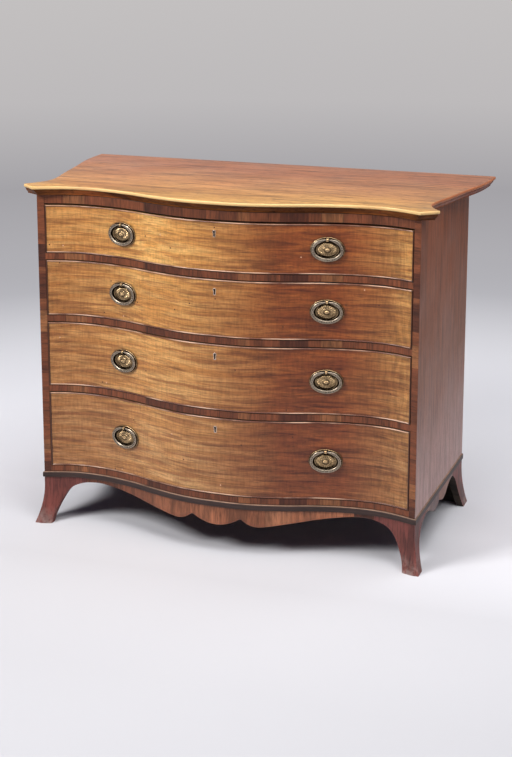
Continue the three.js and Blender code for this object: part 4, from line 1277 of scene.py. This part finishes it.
class CHEST_OT_base(bpy.types.Operator):
    """Makes the dark base band and the shaped aprons under it"""

    bl_idname = "chest.base"
    bl_label = "Base band and aprons"
    bl_options = {"REGISTER", "UNDO"}

    def execute(self, context):
        colours = context.scene.chest_colours
        levels = [(FOOT_HEIGHT, 0.5 * MM), (FOOT_HEIGHT + 0.5 * MM, 0)]
        levels += [(CASE_FOOT - down * MM, inset * MM) for down, inset in BAND_PROFILE]
        mesh = smoothed(mesh_of("base_band", slab(base_plan, levels)), 42)
        placed(
            "base_band", dressed(mesh, band_finish(colours)), "case",
            ["base_moulding"],
        )
        tones = (colours.apron_light, colours.apron, colours.band_dark)
        veneer = crossband("upright_mahogany_aprons", "X", tones, 110 * MM)
        low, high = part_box("apron_front")
        rings = [
            apron_section((x, front_y(x)), (x, front_y(x) + APRON_THICKNESS), apron_foot(x))
            for x in steps(low.x, high.x, APRON_STEPS)
        ]
        mesh = smoothed(mesh_of("front_apron", loft(rings)), 40)
        placed("front_apron", dressed(mesh, veneer), "case", ["apron_front"])
        tones = (colours.apron_side, colours.apron_side, colours.apron)
        side_veneer = crossband("upright_mahogany_side_aprons", "Y", tones, 200 * MM)
        low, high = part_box("apron_right")
        middle, half = (low.y + high.y) / 2, (CASE_BACK - CASE_FRONT) / 2
        for hand, side in HANDS:
            rings = []
            for y in steps(low.y, high.y, SIDE_APRON_STEPS):
                share = abs(y - middle) / half
                drop = curve_through(SIDE_APRON_PLACE_SHARES, SIDE_APRON_DROP_SHARES, share)
                foot = FOOT_HEIGHT - SIDE_APRON_DROP * drop
                face, back = (HALF_WIDTH * side, y), ((HALF_WIDTH - APRON_THICKNESS) * side, y)
                rings.append(apron_section(face, back, foot))
            mesh = smoothed(mesh_of(f"side_apron_{hand}", loft(rings)), 40)
            placed(
                f"side_apron_{hand}", dressed(mesh, side_veneer), "case",
                [f"apron_{hand}"],
            )
        return {"FINISHED"}


def splay(z):
    """How far a foot splays at a height, as a share of its splay at the floor."""
    return max(0, 1 - z / SPLAY_HEIGHT) ** SPLAY_POWER


def reach(z, leg, share, slow, quick):
    """Reach of a bracket's wing at a height: a slow sweep over the leg, then a quick turn."""
    rise = min(1, z / ARCH_TOP)
    return leg + (BRACKET_REACH - leg) * (share * rise ** slow + (1 - share) * rise ** quick)


def foot_levels():
    """Heights of a foot's rings, closer where the arch turns over, with worn edges at the floor."""
    return [0, FLOOR_ARRIS] + [ARCH_TOP * share for share in steps(0.03, 0.8, 20)] + [
        ARCH_TOP * share for share in steps(0.82, 1, 14)] + [FOOT_HEIGHT]


class CHEST_OT_feet(bpy.types.Operator):
    """Makes the splayed bracket feet"""

    bl_idname = "chest.feet"
    bl_label = "Feet"
    bl_options = {"REGISTER", "UNDO"}

    def execute(self, context):
        colours = context.scene.chest_colours
        veneer = foot_finish(colours)
        # The back feet's inward faces are painted near black: painted shade inside the brackets
        tones = [colour(code) for code in ("#3a2d24", "#2c221b", "#1c1511")]
        shaded_inside = bare_wood("pine_brackets_painted_shade", "XYZ", tones, 0.9)
        for place, ring in (("front", self.front_ring), ("back", self.back_ring)):
            for hand, side in HANDS:
                rings = [
                    [(x * side, y, level) for x, y in ring(level)] for level in foot_levels()
                ]
                name = f"{place}_{hand}_foot"
                mesh = dressed(mesh_of(f"bracket_{name}", loft(rings)), veneer, shaded_inside)
                for face in mesh.polygons:
                    inward = face.normal.x * side < -0.3 or abs(face.normal.x) < 0.3
                    if place == "back" and inward and face.normal.y < 0.3:
                        face.material_index = 1
                piece = placed(f"bracket_{name}", mesh, "case", [name])
                rounded(piece, 0.9 * MM, 2, 45)
        return {"FINISHED"}

    def front_ring(self, z):
        """Plan of a right front foot at a height: two wings that meet at the corner."""
        out = HALF_WIDTH + SPLAY_SIDE * splay(z)
        forward = SPLAY_FRONT * splay(z)
        wing = HALF_WIDTH - reach(z, FRONT_LEG, *FRONT_SWEEP)
        side_end = CASE_FRONT + reach(z, FRONT_LEG_SIDE, *SIDE_SWEEP)
        inner = out - APRON_THICKNESS
        face = [(x, front_y(x) - forward) for x in steps(HALF_WIDTH, wing, 16)]
        back = [(x, front_y(x) - forward + APRON_THICKNESS) for x in steps(wing, inner, 12)]
        return [(out, CASE_FRONT - forward)] + face + back + [(inner, side_end), (out, side_end)]

    def back_ring(self, z):
        """Plan of a right back foot at a height: a side wing and a plain bracket at the back."""
        out = HALF_WIDTH + SPLAY_SIDE * splay(z)
        side_end = CASE_BACK - reach(z, REAR_LEG_SIDE, *SIDE_SWEEP)
        inner = out - APRON_THICKNESS
        bracket_front = CASE_BACK - BACK_BRACKET_THICKNESS
        bracket_end = HALF_WIDTH - BACK_BRACKET + BRACKET_RAKE * (1 - z / FOOT_HEIGHT)
        return [
            (out, side_end), (out, CASE_BACK), (bracket_end, CASE_BACK),
            (bracket_end, bracket_front), (inner, bracket_front), (inner, side_end),
        ]


def keyhole_line(margin):
    """Outline of a keyhole grown by a margin, round its head's centre, as (x, z)."""
    radius = KEYHOLE_RADIUS + margin
    half = KEYHOLE_SLOT / 2 + margin
    foot = -KEYHOLE_LENGTH - margin
    meet = math.asin(half / radius)
    turn = [
        (radius * math.cos(a), radius * math.sin(a))
        for a in steps(-math.pi / 2 + meet, 3 * math.pi / 2 - meet, 20)
    ]
    return [(-half, foot), (half, foot)] + turn


class CHEST_OT_drawer_fronts(bpy.types.Operator):
    """Makes the serpentine drawer fronts, with their cock beads and keyhole liners"""

    bl_idname = "chest.drawer_fronts"
    bl_label = "Drawer fronts"
    bl_options = {"REGISTER", "UNDO"}

    def execute(self, context):
        colours = context.scene.chest_colours
        sizes = context.scene.chest_sizes
        wood = front_mahogany(colours)
        bead_wood = bead_finish(colours)
        # The liners' near-white brass is partly a painted highlight
        brass = brass_finish("rubbed_highlit_brass_keyhole_liners", colour("#f6dcc8"), colours.patina)
        sweep = sweep_tree()
        for i in DRAWERS:
            low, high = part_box(f"drawer_{i}_front")
            liner_low, liner_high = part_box(f"drawer_{i}_keyhole_liner")
            head = liner_high.z - KEYHOLE_RADIUS - LINER_WALL
            mesh = self.front(low, high, head)
            mesh.materials.clear()
            placed(
                f"drawer_{i}_face", dressed(mesh, wood), f"drawer_{i}",
                [f"drawer_{i}_front"],
            )
            bead = self.bead(low, high, sweep, sizes.bead_radius, bead_wood)
            placed(f"drawer_{i}_cock_bead", bead, f"drawer_{i}")
            liner = dressed(self.liner(head, liner_low.y, liner_high.y), brass)
            placed(
                f"drawer_{i}_keyhole", liner, f"drawer_{i}",
                [f"drawer_{i}_keyhole_liner"],
            )
        return {"FINISHED"}

    def front(self, low, high, head):
        """Serpentine board of a drawer's front, pierced for the keyhole liner."""
        end = high.x

        def plan(inset):
            places = steps(-end, end, FRONT_STEPS)
            face = [(x, front_y(x) + inset) for x in places]
            return face + [(x, front_y(x) + FRONT_THICKNESS) for x in reversed(places)]

        board = mesh_of("board", slab(plan, arrised(low.z, high.z, FRONT_ARRIS)))
        line = keyhole_line(LINER_WALL + KEYHOLE_SPARE)
        front = CASE_FRONT - BULGE
        rings = [[(x, y, head + z) for x, z in line] for y in (front - 9 * MM, front + 40 * MM)]
        return smoothed(cut(board, mesh_of("bar", loft(rings))), 30)

    def bead(self, low, high, tree, radius, finish):
        """Cock bead: a half-sunk round strip along the four edges of a drawer's face."""
        end, turn = high.x - radius, 0.8 * MM
        foot, head = low.z + radius, high.z - radius
        across = steps(-end + turn, end - turn, 120)
        ups = steps(foot + turn, head - turn, 4)
        rise = 0.5 * MM
        points = [(x, front_y(x) - rise, foot) for x in [-end] + across + [end]]
        points += [(end, front_y(end) - rise, z) for z in ups]
        points += [(x, front_y(x) - rise, head) for x in [end] + across[::-1] + [-end]]
        points += [(-end, front_y(end) - rise, z) for z in ups[::-1]]
        return along_path(tree, points, {"Radius": radius, "Sides": 10, "Finish": finish})

    def liner(self, head, front, back):
        """Brass wall round a keyhole, with its front edge rounded over."""
        inner, outer = keyhole_line(0), keyhole_line(LINER_WALL)
        edge = 0.35 * MM
        rings = []
        for (xi, zi), (xo, zo) in zip(inner, outer):
            a, b = Vector((xi, 0, zi + head)), Vector((xo, 0, zo + head))
            step = (b - a).normalized() * edge
            marks = (
                (a, back), (a, front + edge), (a + step, front), (b - step, front),
                (b, front + edge), (b, back),
            )
            rings.append([(p.x, y, p.z) for p, y in marks])
        return smoothed(mesh_of("liner", loft(rings, closed=True)), 50)


class CHEST_OT_handles(bpy.types.Operator):
    """Makes the oval ring handles with their chased backplates"""

    bl_idname = "chest.handles"
    bl_label = "Handles"
    bl_options = {"REGISTER", "UNDO"}

    def execute(self, context):
        colours = context.scene.chest_colours
        sizes = context.scene.chest_sizes
        brass = brass_finish("tarnished_cast_brass", colours.brass, colours.patina)
        worn = brass_finish("silvery_worn_brass", colours.silvery, colours.patina)
        tree = leaf_tree()
        plate = self.plate(brass, tree)
        ring = self.ring(sizes, worn, tree)
        for i in DRAWERS:
            for hand, side in HANDS:
                low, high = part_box(f"drawer_{i}_{hand}_plate")
                height = (low.z + high.z) / 2
                seat = Matrix.Translation((side * HANDLE_X, HANDLE_SEAT, height))
                turn = Matrix.Rotation(side * HANDLE_TURN, 4, "Z")
                move = seat @ turn @ Matrix.Translation((0, -PLATE_SEAT, 0))
                name = f"drawer_{i}_{hand}"
                for label, template, body, node in (
                    ("backplate", plate, f"drawer_{i}", "plate"),
                    ("bail", ring, f"{name}_handle", "ring"),
                ):
                    mesh = template.copy()
                    mesh.transform(move)
                    placed(f"{name}_{label}", mesh, body, [f"{name}_{node}"])
        bpy.data.meshes.remove(plate)
        bpy.data.meshes.remove(ring)
        return {"FINISHED"}

    def plate(self, brass, tree):
        """Backplate: an oval with a raised rim, a gadrooned medallion and a rosette boss."""
        rings = [self.oval(*marks) for marks in PLATE_PROFILE]
        plate = dressed(smoothed(mesh_of("plate", loft(rings)), 50), brass)
        lug = smoothed(mesh_of("lug", self.lug()), 40)
        post = smoothed(mesh_of("post", *self.post()), 40)
        pearls = along_path(
            tree, self.oval(0.955, 1.7, count=96),
            {"Count": 72, "Length": 1.25 * MM, "Width": 0.9 * MM, "Height": 0.9 * MM,
             "Segments": 6, "Finish": brass},
        )
        return joined("plate", plate, lug, post, pearls)

    def oval(self, share, depth, swell=0, lobes=0, count=108):
        """Points round the plate at a share of its half size, with its depth in millimetres."""
        return [
            (PLATE_WIDTH * share * math.cos(a),
             -(depth + swell * (0.5 + 0.5 * math.cos(lobes * a))) * MM,
             PLATE_HEIGHT * share * math.sin(a))
            for a in steps(0, 2 * math.pi, count)[:-1]
        ]

    def lug(self):
        """Lug of the plate, a rounded block that the ring's pin lies in."""
        outer, half, edge, seat = 4.4 * MM, 3 * MM, 0.4 * MM, -0.8 * MM
        turn = steps(math.pi / 2, 3 * math.pi / 2, 10)
        rings = []
        for x in (-half, -half + edge, half - edge, half):
            size = outer - (edge if abs(x) == half else 0)
            line = [(seat, PIN_HEIGHT + size)]
            line += [
                (-RING_STAND_OFF + size * math.cos(a), PIN_HEIGHT + size * math.sin(a))
                for a in turn
            ]
            line += [(seat, PIN_HEIGHT - size)]
            rings.append([(x, y, z) for y, z in line])
        return loft(rings)

    def post(self):
        """Post of the handle through the drawer's front, and the nut on it inside."""
        nut_front = PLATE_SEAT + FRONT_THICKNESS * math.cos(HANDLE_TURN) + NUT_GAP
        shapes = []
        for radius, sides, start, end in (
            (POST_RADIUS, 16, 0, nut_front + POST_PAST_NUT),
            (NUT_RADIUS, 6, nut_front, nut_front + NUT_THICKNESS),
        ):
            turn = steps(0, 2 * math.pi, sides)[:-1]
            shapes.append(loft([
                [(radius * math.cos(a), y, radius * math.sin(a)) for a in turn]
                for y in (start, end)
            ]))
        return shapes

    def ring(self, sizes, brass, tree):
        """Ring: an oval loop that swells from its pin to a flat bar, cast with leaves."""
        rings, path = [], []
        # The pin's radius, and how much wider and deeper the bar is, in millimetres
        pin, wider, deeper = 2, 2.2, 0.4
        # The groove's depth in millimetres, and its width as a share of the bar's
        groove_depth, groove_width = 1.5, 0.3
        sweep_angle = 2 * math.pi - (math.pi - 2 * PIN_ANGLE)
        for angle in steps(PIN_ANGLE, PIN_ANGLE - sweep_angle, 96):
            x, z = RING_WIDTH * math.cos(angle), RING_HEIGHT * math.sin(angle)
            out = Vector((x / RING_WIDTH ** 2, z / RING_HEIGHT ** 2)).normalized()
            swell = min(1, (PIN_HEIGHT - z) / (4 * MM))
            half = (pin + wider * swell) * MM
            deep = (pin + deeper * swell) * MM
            section = []
            for a in steps(0, 2 * math.pi, 20)[:-1]:
                across = half * math.cos(a)
                # The front has a groove between two rounded mouldings
                groove = groove_depth * swell * math.exp(-(math.cos(a) / groove_width) ** 2)
                groove *= math.sin(a) < 0
                depth = deep * math.sin(a) + groove * MM
                section.append((x + out.x * across, depth - RING_STAND_OFF, z + out.y * across))
            rings.append(section)
            if swell == 1:
                path.append((x, -RING_STAND_OFF - 0.9 * MM, z))
        loop = dressed(smoothed(mesh_of("ring", loft(rings, closed=True)), 60), brass)
        cast = along_path(
            tree, path,
            {"Count": sizes.ring_beads, "Length": 2.7 * MM, "Width": 1.9 * MM,
             "Height": 1.3 * MM, "Segments": 8, "Finish": brass},
            closed=False,
        )
        return joined("ring", loop, cast)


class CHEST_OT_linings(bpy.types.Operator):
    """Finishes the drawer linings, the dust boards, the locks and the bolts"""

    bl_idname = "chest.linings"
    bl_label = "Linings and locks"
    bl_options = {"REGISTER", "UNDO"}

    def execute(self, context):
        colours = context.scene.chest_colours
        oak = (colours.lining, colours.lining_mid, colours.lining_dark)
        side_oak = bare_wood("planed_oak_drawer_sides", "YXZ", oak)
        floor_oak = bare_wood("planed_oak_drawer_floors", "XZY", oak)
        dust_pine = bare_wood("rough_pine_dust_boards", "XZY", pine_tones(colours), 0.8)
        iron = lock_finish("filed_iron_locks", colour("#857d72"), colour("#4f473f"))
        bolt = lock_finish("filed_iron_bolts", colour("#8f887d"), colour("#5d554c"))
        for i in DRAWERS:
            for node, material in (
                ("box", side_oak), ("bottom", floor_oak), ("lock", iron), ("lock_bolt", bolt),
            ):
                self.finish(f"drawer_{i}_{node}", material)
        for i in DIVIDERS:
            self.finish(f"dust_board_{i}", dust_pine)
        return {"FINISHED"}

    def finish(self, node, material):
        """Give a frame node a better finish in its own material slots."""
        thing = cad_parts[node]
        for place in thing.material_slots:
            place.link = "OBJECT"
            place.material = material


class CHEST_PT_panel(bpy.types.Panel):
    """Lists the chest's pieces in the order they are made"""

    bl_idname = "CHEST_PT_panel"
    bl_label = "Serpentine chest"
    bl_space_type = "VIEW_3D"
    bl_region_type = "UI"
    bl_category = "Chest"

    def draw(self, context):
        for piece in PIECES:
            self.layout.operator(piece.bl_idname, text=piece.bl_label)


PIECES = (
    CHEST_OT_stage, CHEST_OT_top, CHEST_OT_sides, CHEST_OT_back, CHEST_OT_rails,
    CHEST_OT_base, CHEST_OT_feet, CHEST_OT_drawer_fronts, CHEST_OT_handles, CHEST_OT_linings,
)
GROUPS = (
    ("chest_colours", ChestColours), ("chest_sizes", ChestSizes), ("chest_studio", ChestStudio),
)


def register():
    """Add the chest's settings, operators and panel to Blender."""
    for name, group in GROUPS:
        bpy.utils.register_class(group)
        setattr(bpy.types.Scene, name, PointerProperty(type=group))
    for piece in PIECES:
        bpy.utils.register_class(piece)
    bpy.utils.register_class(CHEST_PT_panel)


def unregister():
    """Take the chest's settings, operators and panel out of Blender."""
    bpy.utils.unregister_class(CHEST_PT_panel)
    for piece in reversed(PIECES):
        bpy.utils.unregister_class(piece)
    for name, group in reversed(GROUPS):
        delattr(bpy.types.Scene, name)
        bpy.utils.unregister_class(group)


def main():
    """Make every piece in order."""
    register()
    for piece in PIECES:
        kind, name = piece.bl_idname.split(".")
        getattr(getattr(bpy.ops, kind), name)()
    bpy.context.view_layer.update()


if __name__ == "__main__":
    main()
